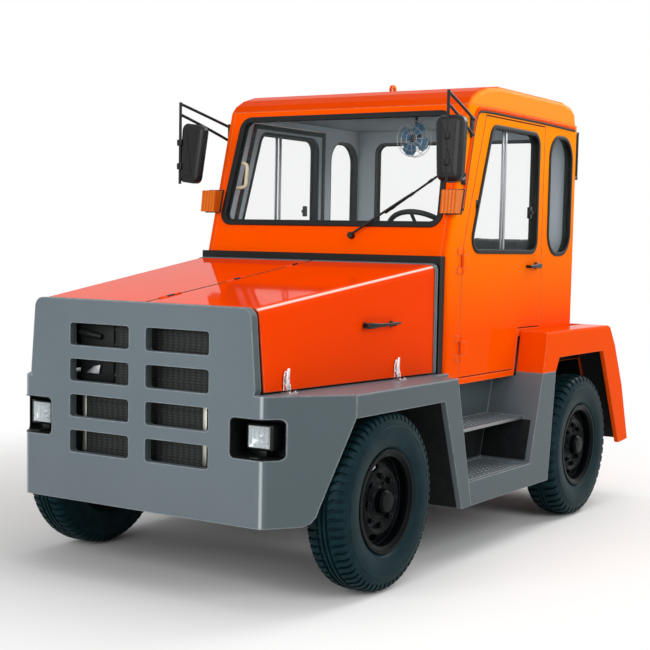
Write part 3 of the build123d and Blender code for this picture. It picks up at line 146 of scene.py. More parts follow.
def add_node(
    tree: bpy.types.NodeTree,
    kind: str,
    sockets: dict | None = None,
    links: dict | None = None,
    **settings: object,
) -> bpy.types.Node:
    """Add one shader node with its settings, values and links.

    Args:
        tree: Node tree that takes the node.
        kind: Blender's name of the node type.
        sockets: Values by input socket.
        links: Output sockets by input socket.
        settings: Properties of the node itself.

    Returns:
        The new node.
    """
    node = tree.nodes.new(kind)
    for key, value in settings.items():
        setattr(node, key, value)
    for key, value in (sockets or {}).items():
        node.inputs[key].default_value = value
    for key, socket in (links or {}).items():
        tree.links.new(socket, node.inputs[key])
    return node


def per_metre(size_mm: float) -> float:
    """Texture scale that gives a pattern of that size in millimetres."""
    return 1000.0 / size_mm


@dataclass(frozen=True)
class Finish:
    """A surface finish: its material's name and the record's slot."""

    name: str
    slot: str

    def material(self) -> bpy.types.Material:
        """Return the finish's material, made the first time it is asked for."""
        found = bpy.data.materials.get(self.name)
        if found is not None:
            return found
        made = bpy.data.materials.new(self.name)
        made.use_nodes = True
        tree = made.node_tree
        self.mix(tree, tree.nodes["Principled BSDF"])
        return made

    def mix(self, tree: bpy.types.NodeTree, shader: bpy.types.Node) -> None:
        """Add this finish's nodes.

        Args:
            tree: Node tree of the material.
            shader: Its principled shader.
        """
        raise NotImplementedError


@dataclass(frozen=True)
class Enamel(Finish):
    """Sprayed enamel on sheet steel: a fine peel, cloudy tone and dust low down."""

    colour: str = "#808080"
    deep: str = "#707070"
    dust: str = "#8A8378"
    roughness: float = 0.35
    coat: float = 0.3
    grain_mm: float = 3.0
    bump: float = 0.05
    dusty: float = 0.15
    specular: float = 0.4
    coat_rough: float = 0.12
    coat_ior: float = 1.5
    edge_mm: float = 9.0
    # Edge colour and its strength: partly wear, partly painted highlight on rounded edges.
    worn_and_highlight: str = "#B8B8B4"
    worn_and_highlight_amount: float = 0.5
    inside: tuple[float, float, float] | None = None
    inside_colour: str = "#C4D0D8"
    # Tone for faces that look sideways, from a height up: painted light where lighter, painted shade where
    # darker.
    sides: str | None = None
    sides_from: float = -1.0
    sides_over: float = 0.03
    # Straight fold line, its width and its colour: a painted highlight along the fold.
    fold: tuple[tuple[float, float, float], tuple[float, float, float]] | None = None
    fold_mm: float = 8.0
    fold_colour: str = "#FFFFFF"

    def mix(self, tree: bpy.types.NodeTree, shader: bpy.types.Node) -> None:
        """Add the enamel's nodes.

        Args:
            tree: Node tree of the material.
            shader: Its principled shader.
        """
        place = add_node(tree, "ShaderNodeTexCoord")
        at = place.outputs["Object"]
        cloud = add_node(
            tree, "ShaderNodeTexNoise", {"Scale": per_metre(420), "Detail": 4.0}, {"Vector": at}
        )
        tone = add_node(
            tree,
            "ShaderNodeMix",
            {"A": linear(self.deep), "B": linear(self.colour)},
            {"Factor": cloud.outputs["Fac"]},
            data_type="RGBA",
        )
        height = add_node(tree, "ShaderNodeSeparateXYZ", links={"Vector": at})
        low = add_node(
            tree,
            "ShaderNodeMapRange",
            {"From Min": 0.25, "From Max": 1.0, "To Min": self.dusty, "To Max": 0.0},
            {"Value": height.outputs["Z"]},
        )
        film = add_node(tree, "ShaderNodeTexNoise", {"Scale": per_metre(35), "Detail": 6.0}, {"Vector": at})
        settle = add_node(
            tree,
            "ShaderNodeMath",
            links={0: low.outputs["Result"], 1: film.outputs["Fac"]},
            operation="MULTIPLY",
        )
        dusted = add_node(
            tree,
            "ShaderNodeMix",
            {"B": linear(self.dust)},
            {"Factor": settle.outputs["Value"], "A": tone.outputs["Result"]},
            data_type="RGBA",
        )
        colour = dusted.outputs["Result"]
        # Painted light and shade on the faces that look sideways.
        if self.sides is not None:
            colour = self.paint_side_tone(tree, place.outputs["Normal"], height.outputs["Z"], colour)
        if self.inside is not None:
            facing = add_node(
                tree,
                "ShaderNodeVectorMath",
                {1: self.inside},
                {0: place.outputs["Normal"]},
                operation="DOT_PRODUCT",
            )
            inner = add_node(
                tree, "ShaderNodeMath", {1: 0.55}, {0: facing.outputs["Value"]}, operation="GREATER_THAN"
            )
            two_tone = add_node(
                tree,
                "ShaderNodeMix",
                {"B": linear(self.inside_colour)},
                {"Factor": inner.outputs["Value"], "A": colour},
                data_type="RGBA",
            )
            colour = two_tone.outputs["Result"]
        # Painted highlight along a straight fold.
        if self.fold is not None:
            colour = self.along_fold(tree, at, colour)
        # Edges paled by a bevel mask, partly as wear and partly as painted highlight.
        rounded = add_node(tree, "ShaderNodeBevel", {"Radius": self.edge_mm / 1000}, samples=6)
        flat = add_node(tree, "ShaderNodeNewGeometry")
        turn = add_node(
            tree,
            "ShaderNodeVectorMath",
            links={0: rounded.outputs["Normal"], 1: flat.outputs["Normal"]},
            operation="DOT_PRODUCT",
        )
        edge = add_node(
            tree,
            "ShaderNodeMapRange",
            {"From Min": 0.995, "From Max": 0.90, "To Min": 0.0, "To Max": self.worn_and_highlight_amount},
            {"Value": turn.outputs["Value"]},
        )
        patchy = add_node(
            tree,
            "ShaderNodeMapRange",
            {"From Min": 0.3, "From Max": 0.7, "To Min": 0.35, "To Max": 1.0},
            {"Value": film.outputs["Fac"]},
        )
        worn_and_highlight_mask = add_node(
            tree,
            "ShaderNodeMath",
            links={0: edge.outputs["Result"], 1: patchy.outputs["Result"]},
            operation="MULTIPLY",
        )
        worn_and_highlight_mixed = add_node(
            tree,
            "ShaderNodeMix",
            {"B": linear(self.worn_and_highlight)},
            {"Factor": worn_and_highlight_mask.outputs["Value"], "A": colour},
            data_type="RGBA",
        )
        tree.links.new(worn_and_highlight_mixed.outputs["Result"], shader.inputs["Base Color"])
        gloss = add_node(
            tree,
            "ShaderNodeMapRange",
            {"To Min": self.roughness - 0.04, "To Max": self.roughness + 0.08},
            {"Value": film.outputs["Fac"]},
        )
        tree.links.new(gloss.outputs["Result"], shader.inputs["Roughness"])
        peel = add_node(
            tree, "ShaderNodeTexNoise", {"Scale": per_metre(self.grain_mm), "Detail": 2.0}, {"Vector": at}
        )
        relief = add_node(
            tree,
            "ShaderNodeBump",
            {"Strength": self.bump, "Distance": 0.001},
            {"Height": peel.outputs["Fac"], "Normal": rounded.outputs["Normal"]},
        )
        tree.links.new(relief.outputs["Normal"], shader.inputs["Normal"])
        shader.inputs["Specular IOR Level"].default_value = self.specular
        shader.inputs["Coat Weight"].default_value = self.coat
        shader.inputs["Coat Roughness"].default_value = self.coat_rough
        shader.inputs["Coat IOR"].default_value = self.coat_ior

    def paint_side_tone(
        self,
        tree: bpy.types.NodeTree,
        normal: bpy.types.NodeSocket,
        height: bpy.types.NodeSocket,
        colour: bpy.types.NodeSocket,
    ) -> bpy.types.NodeSocket:
        """Give faces that look sideways their own tone from a height up: painted light where it is lighter,
        painted shade where it is darker.

        Args:
            tree: Node tree of the material.
            normal: Object normal.
            height: Height over the ground.
            colour: Colour so far.

        Returns:
            The colour with that tone.
        """
        apart = add_node(tree, "ShaderNodeSeparateXYZ", links={"Vector": normal})
        out = add_node(tree, "ShaderNodeMath", links={0: apart.outputs["Y"]}, operation="ABSOLUTE")
        turned_out = add_node(
            tree,
            "ShaderNodeMapRange",
            {"From Min": 0.3, "From Max": 0.85},
            {"Value": out.outputs["Value"]},
        )
        above = add_node(
            tree,
            "ShaderNodeMapRange",
            {"From Min": self.sides_from, "From Max": self.sides_from + self.sides_over},
            {"Value": height},
        )
        share = add_node(
            tree,
            "ShaderNodeMath",
            links={0: turned_out.outputs["Result"], 1: above.outputs["Result"]},
            operation="MULTIPLY",
        )
        mixed = add_node(
            tree,
            "ShaderNodeMix",
            {"B": linear(self.sides)},
            {"Factor": share.outputs["Value"], "A": colour},
            data_type="RGBA",
        )
        return mixed.outputs["Result"]

    def along_fold(
        self, tree: bpy.types.NodeTree, at: bpy.types.NodeSocket, colour: bpy.types.NodeSocket
    ) -> bpy.types.NodeSocket:
        """Paint a pale highlight line along a straight fold on each side.

        Args:
            tree: Node tree of the material.
            at: Place on the piece.
            colour: Colour so far.

        Returns:
            The colour with the painted highlight line.
        """
        start, end = Vector(self.fold[0]), Vector(self.fold[1])
        mirrored = add_node(tree, "ShaderNodeVectorMath", links={0: at}, operation="ABSOLUTE")
        away = add_node(
            tree,
            "ShaderNodeVectorMath",
            {1: start},
            {0: mirrored.outputs["Vector"]},
            operation="SUBTRACT",
        )
        across = add_node(
            tree,
            "ShaderNodeVectorMath",
            {1: (end - start).normalized()},
            {0: away.outputs["Vector"]},
            operation="CROSS_PRODUCT",
        )
        off = add_node(
            tree, "ShaderNodeVectorMath", links={0: across.outputs["Vector"]}, operation="LENGTH"
        )
        share = add_node(
            tree,
            "ShaderNodeMapRange",
            {
                "From Min": self.fold_mm * 0.0003,
                "From Max": self.fold_mm * 0.001,
                "To Min": 0.85,
                "To Max": 0.0,
            },
            {"Value": off.outputs["Value"]},
        )
        mixed = add_node(
            tree,
            "ShaderNodeMix",
            {"B": linear(self.fold_colour)},
            {"Factor": share.outputs["Result"], "A": colour},
            data_type="RGBA",
        )
        return mixed.outputs["Result"]


@dataclass(frozen=True)
class Rubber(Finish):
    """Moulded black rubber: matt, a little chalky, with dust in its pores."""

    colour: str = "#1A1B1C"
    chalk: str = "#34332F"
    roughness: float = 0.7
    pore_mm: float = 4.0
    bump: float = 0.15
    specular: float = 0.2

    def mix(self, tree: bpy.types.NodeTree, shader: bpy.types.Node) -> None:
        """Add the rubber's nodes.

        Args:
            tree: Node tree of the material.
            shader: Its principled shader.
        """
        at = add_node(tree, "ShaderNodeTexCoord").outputs["Object"]
        film = add_node(tree, "ShaderNodeTexNoise", {"Scale": per_metre(60), "Detail": 6.0}, {"Vector": at})
        dull = add_node(
            tree,
            "ShaderNodeMapRange",
            {"From Min": 0.45, "From Max": 0.8, "To Max": 0.6},
            {"Value": film.outputs["Fac"]},
        )
        tone = add_node(
            tree,
            "ShaderNodeMix",
            {"A": linear(self.colour), "B": linear(self.chalk)},
            {"Factor": dull.outputs["Result"]},
            data_type="RGBA",
        )
        tree.links.new(tone.outputs["Result"], shader.inputs["Base Color"])
        pores = add_node(
            tree, "ShaderNodeTexNoise", {"Scale": per_metre(self.pore_mm), "Detail": 3.0}, {"Vector": at}
        )
        relief = add_node(
            tree,
            "ShaderNodeBump",
            {"Strength": self.bump, "Distance": 0.001},
            {"Height": pores.outputs["Fac"]},
        )
        tree.links.new(relief.outputs["Normal"], shader.inputs["Normal"])
        shader.inputs["Roughness"].default_value = self.roughness
        shader.inputs["Specular IOR Level"].default_value = self.specular


@dataclass(frozen=True)
class Moulding(Finish):
    """Moulded plastic with a leather-like grain."""

    colour: str = "#202122"
    light: str = "#2A2B2C"
    roughness: float = 0.5
    grain_mm: float = 3.0
    bump: float = 0.2
    specular: float = 0.25

    def mix(self, tree: bpy.types.NodeTree, shader: bpy.types.Node) -> None:
        """Add the plastic's nodes.

        Args:
            tree: Node tree of the material.
            shader: Its principled shader.
        """
        at = add_node(tree, "ShaderNodeTexCoord").outputs["Object"]
        cells = add_node(tree, "ShaderNodeTexVoronoi", {"Scale": per_metre(self.grain_mm)}, {"Vector": at})
        cloud = add_node(
            tree, "ShaderNodeTexNoise", {"Scale": per_metre(90), "Detail": 4.0}, {"Vector": at}
        )
        tone = add_node(
            tree,
            "ShaderNodeMix",
            {"A": linear(self.colour), "B": linear(self.light)},
            {"Factor": cloud.outputs["Fac"]},
            data_type="RGBA",
        )
        tree.links.new(tone.outputs["Result"], shader.inputs["Base Color"])
        relief = add_node(
            tree,
            "ShaderNodeBump",
            {"Strength": self.bump, "Distance": 0.0006},
            {"Height": cells.outputs["Distance"]},
        )
        tree.links.new(relief.outputs["Normal"], shader.inputs["Normal"])
        shader.inputs["Roughness"].default_value = self.roughness
        shader.inputs["Specular IOR Level"].default_value = self.specular


@dataclass(frozen=True)
class Plating(Finish):
    """Bare or plated metal with fine brushing."""

    colour: str = "#C8CACC"
    dull: str = "#9A9C9E"
    roughness: float = 0.2
    brush_mm: float = 2.0
    metallic: float = 1.0

    def mix(self, tree: bpy.types.NodeTree, shader: bpy.types.Node) -> None:
        """Add the metal's nodes.

        Args:
            tree: Node tree of the material.
            shader: Its principled shader.
        """
        at = add_node(tree, "ShaderNodeTexCoord").outputs["Object"]
        stretch = add_node(tree, "ShaderNodeMapping", {"Scale": (1.0, 1.0, 0.15)}, {"Vector": at})
        brush = add_node(
            tree,
            "ShaderNodeTexNoise",
            {"Scale": per_metre(self.brush_mm), "Detail": 4.0},
            {"Vector": stretch.outputs["Vector"]},
        )
        tone = add_node(
            tree,
            "ShaderNodeMix",
            {"A": linear(self.dull), "B": linear(self.colour)},
            {"Factor": brush.outputs["Fac"]},
            data_type="RGBA",
        )
        tree.links.new(tone.outputs["Result"], shader.inputs["Base Color"])
        gloss = add_node(
            tree,
            "ShaderNodeMapRange",
            {"To Min": self.roughness, "To Max": self.roughness + 0.12},
            {"Value": brush.outputs["Fac"]},
        )
        tree.links.new(gloss.outputs["Result"], shader.inputs["Roughness"])
        shader.inputs["Metallic"].default_value = self.metallic


@dataclass(frozen=True)
class Pane(Finish):
    """Float glass: clear, faintly green, with a thin film of dust."""

    colour: str = "#8FA3A1"
    alpha: float = 0.035
    roughness: float = 0.03

    def mix(self, tree: bpy.types.NodeTree, shader: bpy.types.Node) -> None:
        """Add the glass's nodes.

        Args:
            tree: Node tree of the material.
            shader: Its principled shader.
        """
        at = add_node(tree, "ShaderNodeTexCoord").outputs["Object"]
        film = add_node(
            tree, "ShaderNodeTexNoise", {"Scale": per_metre(120), "Detail": 5.0}, {"Vector": at}
        )
        gloss = add_node(
            tree,
            "ShaderNodeMapRange",
            {"To Min": self.roughness, "To Max": self.roughness + 0.05},
            {"Value": film.outputs["Fac"]},
        )
        tree.links.new(gloss.outputs["Result"], shader.inputs["Roughness"])
        shader.inputs["Base Color"].default_value = linear(self.colour)
        shader.inputs["Alpha"].default_value = self.alpha
        shader.inputs["IOR"].default_value = 1.52


@dataclass(frozen=True)
class Lens(Finish):
    """Fluted lamp lens of coloured or clear acrylic."""

    colour: str = "#FFB030"
    deep: str = "#E07A10"
    flute_mm: float = 9.0
    transmission: float = 0.5
    specular: float = 0.5

    def mix(self, tree: bpy.types.NodeTree, shader: bpy.types.Node) -> None:
        """Add the lens's nodes.

        Args:
            tree: Node tree of the material.
            shader: Its principled shader.
        """
        at = add_node(tree, "ShaderNodeTexCoord").outputs["Object"]
        flutes = add_node(
            tree,
            "ShaderNodeTexWave",
            {"Scale": per_metre(self.flute_mm) / 20.0 * math.pi},
            {"Vector": at},
            bands_direction="Y",
        )
        tone = add_node(
            tree,
            "ShaderNodeMix",
            {"A": linear(self.deep), "B": linear(self.colour)},
            {"Factor": flutes.outputs["Fac"]},
            data_type="RGBA",
        )
        tree.links.new(tone.outputs["Result"], shader.inputs["Base Color"])
        relief = add_node(
            tree,
            "ShaderNodeBump",
            {"Strength": 0.4, "Distance": 0.002},
            {"Height": flutes.outputs["Fac"]},
        )
        tree.links.new(relief.outputs["Normal"], shader.inputs["Normal"])
        shader.inputs["Roughness"].default_value = 0.12
        shader.inputs["Transmission Weight"].default_value = self.transmission
        shader.inputs["IOR"].default_value = 1.49
        shader.inputs["Specular IOR Level"].default_value = self.specular


@dataclass(frozen=True)
class Core(Finish):
    """Radiator core: rows of thin fins, drawn at twice their spacing so that they show."""

    colour: str = "#3A3D3B"
    gap: str = "#1B1D1C"
    fin_mm: float = 6.0

    def mix(self, tree: bpy.types.NodeTree, shader: bpy.types.Node) -> None:
        """Add the core's nodes.

        Args:
            tree: Node tree of the material.
            shader: Its principled shader.
        """
        at = add_node(tree, "ShaderNodeTexCoord").outputs["Object"]
        fins = add_node(
            tree,
            "ShaderNodeTexWave",
            {"Scale": per_metre(self.fin_mm) / 20.0 * math.pi},
            {"Vector": at},
            bands_direction="Z",
        )
        tubes = add_node(
            tree,
            "ShaderNodeTexWave",
            {"Scale": per_metre(self.fin_mm * 2.5) / 20.0 * math.pi},
            {"Vector": at},
            bands_direction="Y",
        )
        weave = add_node(
            tree,
            "ShaderNodeMath",
            links={0: fins.outputs["Fac"], 1: tubes.outputs["Fac"]},
            operation="MULTIPLY",
        )
        tone = add_node(
            tree,
            "ShaderNodeMix",
            {"A": linear(self.gap), "B": linear(self.colour)},
            {"Factor": weave.outputs["Value"]},
            data_type="RGBA",
        )
        tree.links.new(tone.outputs["Result"], shader.inputs["Base Color"])
        shader.inputs["Metallic"].default_value = 0.4
        shader.inputs["Roughness"].default_value = 0.6


@dataclass(frozen=True)
class SeatCloth(Finish):
    """Woven seat cloth: crossing threads, drawn coarse enough to show, with a soft sheen."""

    colour: str = "#2B2D31"
    light: str = "#3D4046"
    thread_mm: float = 3.0

    def mix(self, tree: bpy.types.NodeTree, shader: bpy.types.Node) -> None:
        """Add the cloth's nodes.

        Args:
            tree: Node tree of the material.
            shader: Its principled shader.
        """
        at = add_node(tree, "ShaderNodeTexCoord").outputs["Object"]
        scale = per_metre(self.thread_mm) / 20.0 * math.pi
        warp = add_node(tree, "ShaderNodeTexWave", {"Scale": scale}, {"Vector": at}, bands_direction="Y")
        weft = add_node(
            tree, "ShaderNodeTexWave", {"Scale": scale}, {"Vector": at}, bands_direction="DIAGONAL"
        )
        weave = add_node(
            tree,
            "ShaderNodeMath",
            links={0: warp.outputs["Fac"], 1: weft.outputs["Fac"]},
            operation="MULTIPLY",
        )
        tone = add_node(
            tree,
            "ShaderNodeMix",
            {"A": linear(self.colour), "B": linear(self.light)},
            {"Factor": weave.outputs["Value"]},
            data_type="RGBA",
        )
        tree.links.new(tone.outputs["Result"], shader.inputs["Base Color"])
        relief = add_node(
            tree,
            "ShaderNodeBump",
            {"Strength": 0.3, "Distance": 0.001},
            {"Height": weave.outputs["Value"]},
        )
        tree.links.new(relief.outputs["Normal"], shader.inputs["Normal"])
        shader.inputs["Roughness"].default_value = 0.85
        shader.inputs["Sheen Weight"].default_value = 0.3


# Black that stands in for shade: arch and step-well linings, and the insides of the bonnet and tail.
PAINTED_SHADE_BLACK = "#141617"


def orange_enamel(name: str, colour: str = "#FB5800", deep: str = "#F34F00", **settings: object) -> Enamel:
    """Gloss orange enamel, stoved on sheet steel.

    Args:
        name: Name of the material.
        colour: Its fresh tone.
        deep: Its deeper tone.
        settings: Other sizes of the enamel.

    Returns:
        The finish.
    """
    # A thin clear gloss over a full colour: crisp, weak reflections, and edges paled partly by wear and
    # partly as painted highlight.
    made = {
        "dust": "#B4674A",
        "roughness": 0.35,
        "coat": 0.8,
        "grain_mm": 6.0,
        "bump": 0.02,
        "dusty": 0.02,
        "specular": 0.0,
        "coat_rough": 0.05,
        "coat_ior": 1.05,
        "worn_and_highlight": "#FFA878",
        "worn_and_highlight_amount": 0.4,
    }
    made.update(settings)
    return Enamel(name, "orange_paint", colour=colour, deep=deep, **made)


def grey_enamel(name: str, **settings: object) -> Enamel:
    """Textured grey enamel, darkened on the faces that look sideways as painted shade.

    Args:
        name: Name of the material.
        settings: Other sizes of the enamel.

    Returns:
        The finish.
    """
    # A dull, pebbled coat on thick plate: broad soft highlights, flanks darkened as painted shade, corners
    # paled partly by wear and partly as painted highlight.
    return Enamel(
        name,
        "grey_paint",
        colour="#68737A",
        deep="#5D686E",
        dust="#6C6C68",
        roughness=0.5,
        coat=0.3,
        grain_mm=5.0,
        bump=0.4,
        dusty=0.2,
        specular=0.15,
        coat_rough=0.25,
        coat_ior=1.2,
        worn_and_highlight="#D3DBDE",
        worn_and_highlight_amount=0.45,
        sides="#4C575B",
        **settings,
    )


def bonnet_enamel(name: str, inwards: float) -> Enamel:
    """Orange of the bonnet, set darker as painted shade, black underneath as painted shade, and with a
    painted highlight along its crest.

    Args:
        name: Name of the material.
        inwards: Sign of the Y direction towards the middle.

    Returns:
        The finish.
    """
    return orange_enamel(
        name,
        "#F54300",
        "#EE3D00",
        inside=(0.0, 0.75 * inwards, -0.65),
        inside_colour=PAINTED_SHADE_BLACK,
        coat_ior=1.09,
        fold=((1.692, 0.5694, 1.1984), (0.462, 0.6924, 1.3684)),
        fold_mm=9.0,
        fold_colour="#FFEADD",
    )


def cab_side_enamel(name: str, inwards: float) -> Enamel:
    """Orange of the cab's sides as painted light: lighter than the rest, and lighter and yellower towards
    the gutter on the faces that look sideways; grey inside.

    Args:
        name: Name of the material.
        inwards: Sign of the Y direction towards the middle.

    Returns:
        The finish.
    """
    return orange_enamel(
        name,
        "#FB5400",
        "#F54D00",
        inside=(0.0, inwards, 0.0),
        sides="#FF8F08",
        sides_from=1.05,
        sides_over=0.85,
    )


@dataclass(frozen=True)
class Finishes:
    """All finishes of the tractor."""

    # Sprayed gloss on pressed sheet: full colour, faint clouding, a weak clear reflection.
    orange: Finish = orange_enamel("stove_enamel_orange", "#F35000", "#EB4900")
    orange_left: Finish = cab_side_enamel("stove_enamel_orange_left", -1.0)
    orange_right: Finish = cab_side_enamel("stove_enamel_orange_right", 1.0)
    # Front orange set a little lighter as painted light.
    orange_front: Finish = orange_enamel(
        "stove_enamel_orange_front", "#FF5A00", "#FF5200", inside=(-1.0, 0.0, 0.0)
    )
    orange_rear: Finish = orange_enamel("stove_enamel_orange_rear", inside=(1.0, 0.0, 0.0))
    # Roof orange set darker as painted shade; its shoulders that look sideways are painted lighter and
    # yellower as painted light.
    orange_roof: Finish = orange_enamel(
        "stove_enamel_orange_roof",
        "#DE4400",
        "#D63D00",
        inside=(0.0, 0.0, -1.0),
        sides="#FF9630",
        sides_from=1.95,
    )
    # Inner faces of the tail painted black as shade inside the hollow fender.
    orange_tail: Finish = orange_enamel(
        "stove_enamel_orange_tail",
        "#F35000",
        "#EB4900",
        inside=(0.88, 0.0, -0.48),
        inside_colour=PAINTED_SHADE_BLACK,
    )
    bonnet_left: Finish = bonnet_enamel("stove_enamel_bonnet_left", -1.0)
    bonnet_right: Finish = bonnet_enamel("stove_enamel_bonnet_right", 1.0)
    # Pebbled enamel on thick plate: matt, with a painted highlight along the bumper's folds.
    grey: Finish = grey_enamel("textured_enamel_grey")
    grey_bumper: Finish = grey_enamel(
        "textured_enamel_bumper",
        fold=((1.750, 0.635, 0.0), (1.750, 0.635, 1.0)),
        fold_mm=12.0,
        fold_colour="#D3DBDE",
    )
    # Walked-on chequer plate: the same grey, scuffed pale on its studs and dusty between them.
    tread: Finish = Enamel(
        "scuffed_tread_grey",
        "grey_paint",
        colour="#5C666B",
        deep="#50595E",
        dust="#74716B",
        roughness=0.55,
        grain_mm=4.0,
        bump=0.3,
        dusty=0.4,
        specular=0.2,
        edge_mm=2.0,
        worn_and_highlight="#A4A9AB",
        worn_and_highlight_amount=0.4,
    )
    # Brushed chassis black: satin, browned by dust near the ground.
    black: Finish = Enamel(
        "chassis_enamel_black",
        "black_paint",
        colour="#151618",
        deep="#0F1011",
        dust="#3A3631",
        roughness=0.42,
        coat=0.1,
        grain_mm=4.0,
        bump=0.12,
        dusty=0.2,
        specular=0.2,
        coat_ior=1.2,
        worn_and_highlight="#3A3D3F",
    )
    # Wheel enamel: nearly black, with thin painted highlights along the rolled edges.
    rim: Finish = Enamel(
        "rim_enamel_black",
        "black_paint",
        colour="#040A0B",
        deep="#030607",
        dust="#0B0F0F",
        roughness=0.32,
        coat=0.3,
        grain_mm=4.0,
        bump=0.06,
        dusty=0.15,
        specular=0.04,
        coat_ior=1.1,
        edge_mm=5.0,
        worn_and_highlight="#3C4043",
        worn_and_highlight_amount=0.6,
    )
    # Vulcanised rubber: blue-black and dull, chalky where it has dried.
    tyre: Finish = Rubber(
        "moulded_tyre_rubber",
        "tyre_rubber",
        colour="#0C2328",
        chalk="#17343A",
        roughness=0.42,
        specular=0.06,
    )
    # Dead black lining, painted shade: it darkens the insides of the arches and step wells.
    painted_shade_lining: Finish = Rubber(
        "sprayed_underseal", "black_paint", colour=PAINTED_SHADE_BLACK, chalk="#26282A", roughness=0.75
    )
    # Pressed fibre board: soft grey with no shine, so the roof inside looks even.
    lining: Finish = Moulding(
        "pressed_headliner_board", "dark_plastic", colour="#74838A", light="#84929A", roughness=0.7
    )
    # Extruded rubber: an even black line with a faint sheen round each pane.
    seal: Finish = Rubber(
        "window_seal_rubber",
        "seal_rubber",
        colour="#0C0E0F",
        chalk="#161818",
        roughness=0.5,
        pore_mm=2.0,
        bump=0.05,
    )
    # Injection-moulded plastic: charcoal with a leather grain that breaks up highlights.
    plastic: Finish = Moulding("grained_dark_plastic", "dark_plastic")
    # Smooth moulded grips: black with a clearer gloss than the grained plastic.
    grip: Finish = Moulding(
        "smooth_black_grip", "dark_plastic", colour="#0B0D0E", light="#131516", roughness=0.35, bump=0.05
    )
    # Bright chrome plate: pale and mirror-like, so small latches read as white glints.
    chrome: Finish = Plating(
        "chromed_steel", "latch_chrome", colour="#EDEFF0", dull="#D3D6D8", roughness=0.2
    )
    # Zinc plate on bolts: grey metal with a soft, cloudy glint.
    zinc: Finish = Plating(
        "zinc_plated_steel", "latch_chrome", colour="#B9BCBE", dull="#83878A", roughness=0.3
    )
    # Anodised extrusion: an even, silky grey line between sliding panes.
    alloy: Finish = Plating("anodised_window_channel", "latch_chrome", colour="#A9AEB2", roughness=0.35)
    # Steel worn bare by boots: brighter than the paint round it and finely scratched.
    worn_steel: Finish = Plating(
        "worn_step_steel", "grey_paint", colour="#A7A9AA", dull="#6F7274", roughness=0.4
    )
    # Moulded ivory plastic: a warm pale bar that stands out against the dark pillar.
    ivory: Finish = Moulding(
        "ivory_plastic_bar", "latch_chrome", colour="#D6D0AC", light="#E6E1C6", roughness=0.4
    )
    # Silvered glass: a clean reflection for mirrors and lamp bowls.
    silver: Finish = Plating(
        "mirror_silvering", "latch_chrome", colour="#E4E8EA", dull="#D8DCDE", roughness=0.04
    )
    # Engine enamel on cast iron: rough, dull grey that an oily dust has browned.
    iron: Finish = Enamel(
        "engine_enamel_grey",
        "engine_iron",
        colour="#4A4F50",
        deep="#3A3E40",
        dust="#5A5044",
        roughness=0.55,
        grain_mm=6.0,
        bump=0.4,
        dusty=0.3,
    )
    # Painted fins over dark gaps: a fine mesh that stays dark behind the slots.
    core: Finish = Core("finned_radiator_core", "core_metal")
    # Tinned brass strip: a pale, slightly yellow metal edge beside the core.
    tank: Finish = Plating(
        "tinned_radiator_strip", "core_metal", colour="#C9CBBF", dull="#A9AB9E", roughness=0.4
    )
    # Clear float glass: nearly unseen, with a weak reflection.
    clear: Finish = Pane("clear_safety_glass", "clear_glass")
    # Pressed lamp glass: bright and fluted over the silver bowl.
    lamp_glass: Finish = Lens(
        "fluted_lamp_glass",
        "lamp_clear",
        colour="#F4F7F8",
        deep="#DCE3E6",
        flute_mm=11.0,
        transmission=0.85,
    )
    # Amber acrylic: glowing orange-yellow with upright flutes.
    amber: Finish = Lens(
        "amber_acrylic_lens",
        "lamp_amber",
        colour="#EE7A12",
        deep="#D2600A",
        transmission=0.1,
        specular=0.12,
    )
    # Red acrylic: deep ruby that brightens along its flutes.
    red: Finish = Lens(
        "red_acrylic_lens", "lamp_red", colour="#C41A14", deep="#8E0E0C", transmission=0.25
    )
    # Woven polyester: dark grey threads with a soft sheen at glancing angles.
    cloth: Finish = SeatCloth("woven_seat_cloth", "seat_cloth")
    # Translucent moulded blue: smooth blades with a clean gloss.
    fan: Finish = Moulding(
        "blue_fan_plastic", "fan_blue", colour="#1B5577", light="#2B6C90", roughness=0.3, bump=0.02
    )


def clear_bench() -> None:
    """Leave edit mode and deselect everything."""
    if bpy.context.object is not None and bpy.context.object.mode != "OBJECT":
        bpy.ops.object.mode_set(mode="OBJECT")
    bpy.ops.object.select_all(action="DESELECT")


def take(piece: Piece) -> None:
    """Make one piece the only one selected, and the active one."""
    clear_bench()
    piece.select_set(True)
    bpy.context.view_layer.objects.active = piece


def named(name: str) -> Piece:
    """Name the active object and its mesh, and set its place into the mesh."""
    piece = bpy.context.object
    piece.name = name
    piece.data.name = name
    bpy.ops.object.transform_apply(location=True, rotation=True, scale=True)
    return piece


def pick_faces(piece: Piece, test: Callable[[Vector, Vector], bool]) -> None:
    """Go to edit mode with only the faces selected that pass a test.

    Args:
        piece: Piece to work on.
        test: Takes a face's centre and normal.
    """
    take(piece)
    bpy.ops.object.mode_set(mode="EDIT")
    bpy.ops.mesh.select_mode(type="FACE")
    bpy.ops.mesh.select_all(action="DESELECT")
    bpy.ops.object.mode_set(mode="OBJECT")
    for face in piece.data.polygons:
        face.select = test(face.center, face.normal)
    bpy.ops.object.mode_set(mode="EDIT")


def edit_all(piece: Piece) -> None:
    """Go to edit mode with the whole piece selected."""
    take(piece)
    bpy.ops.object.mode_set(mode="EDIT")
    bpy.ops.mesh.select_mode(type="VERT")
    bpy.ops.mesh.select_all(action="SELECT")


def settle(piece: Piece, smooth_deg: float = 40.0) -> Piece:
    """Merge doubles, point the faces outwards and shade smooth below an angle.

    Args:
        piece: Piece to finish.
        smooth_deg: Angle below which edges are shaded smooth.

    Returns:
        The same piece.
    """
    edit_all(piece)
    bpy.ops.mesh.remove_doubles(threshold=0.00005)
    bpy.ops.mesh.normals_make_consistent(inside=False)
    bpy.ops.object.mode_set(mode="OBJECT")
    bpy.ops.object.shade_smooth_by_angle(angle=math.radians(smooth_deg))
    return piece


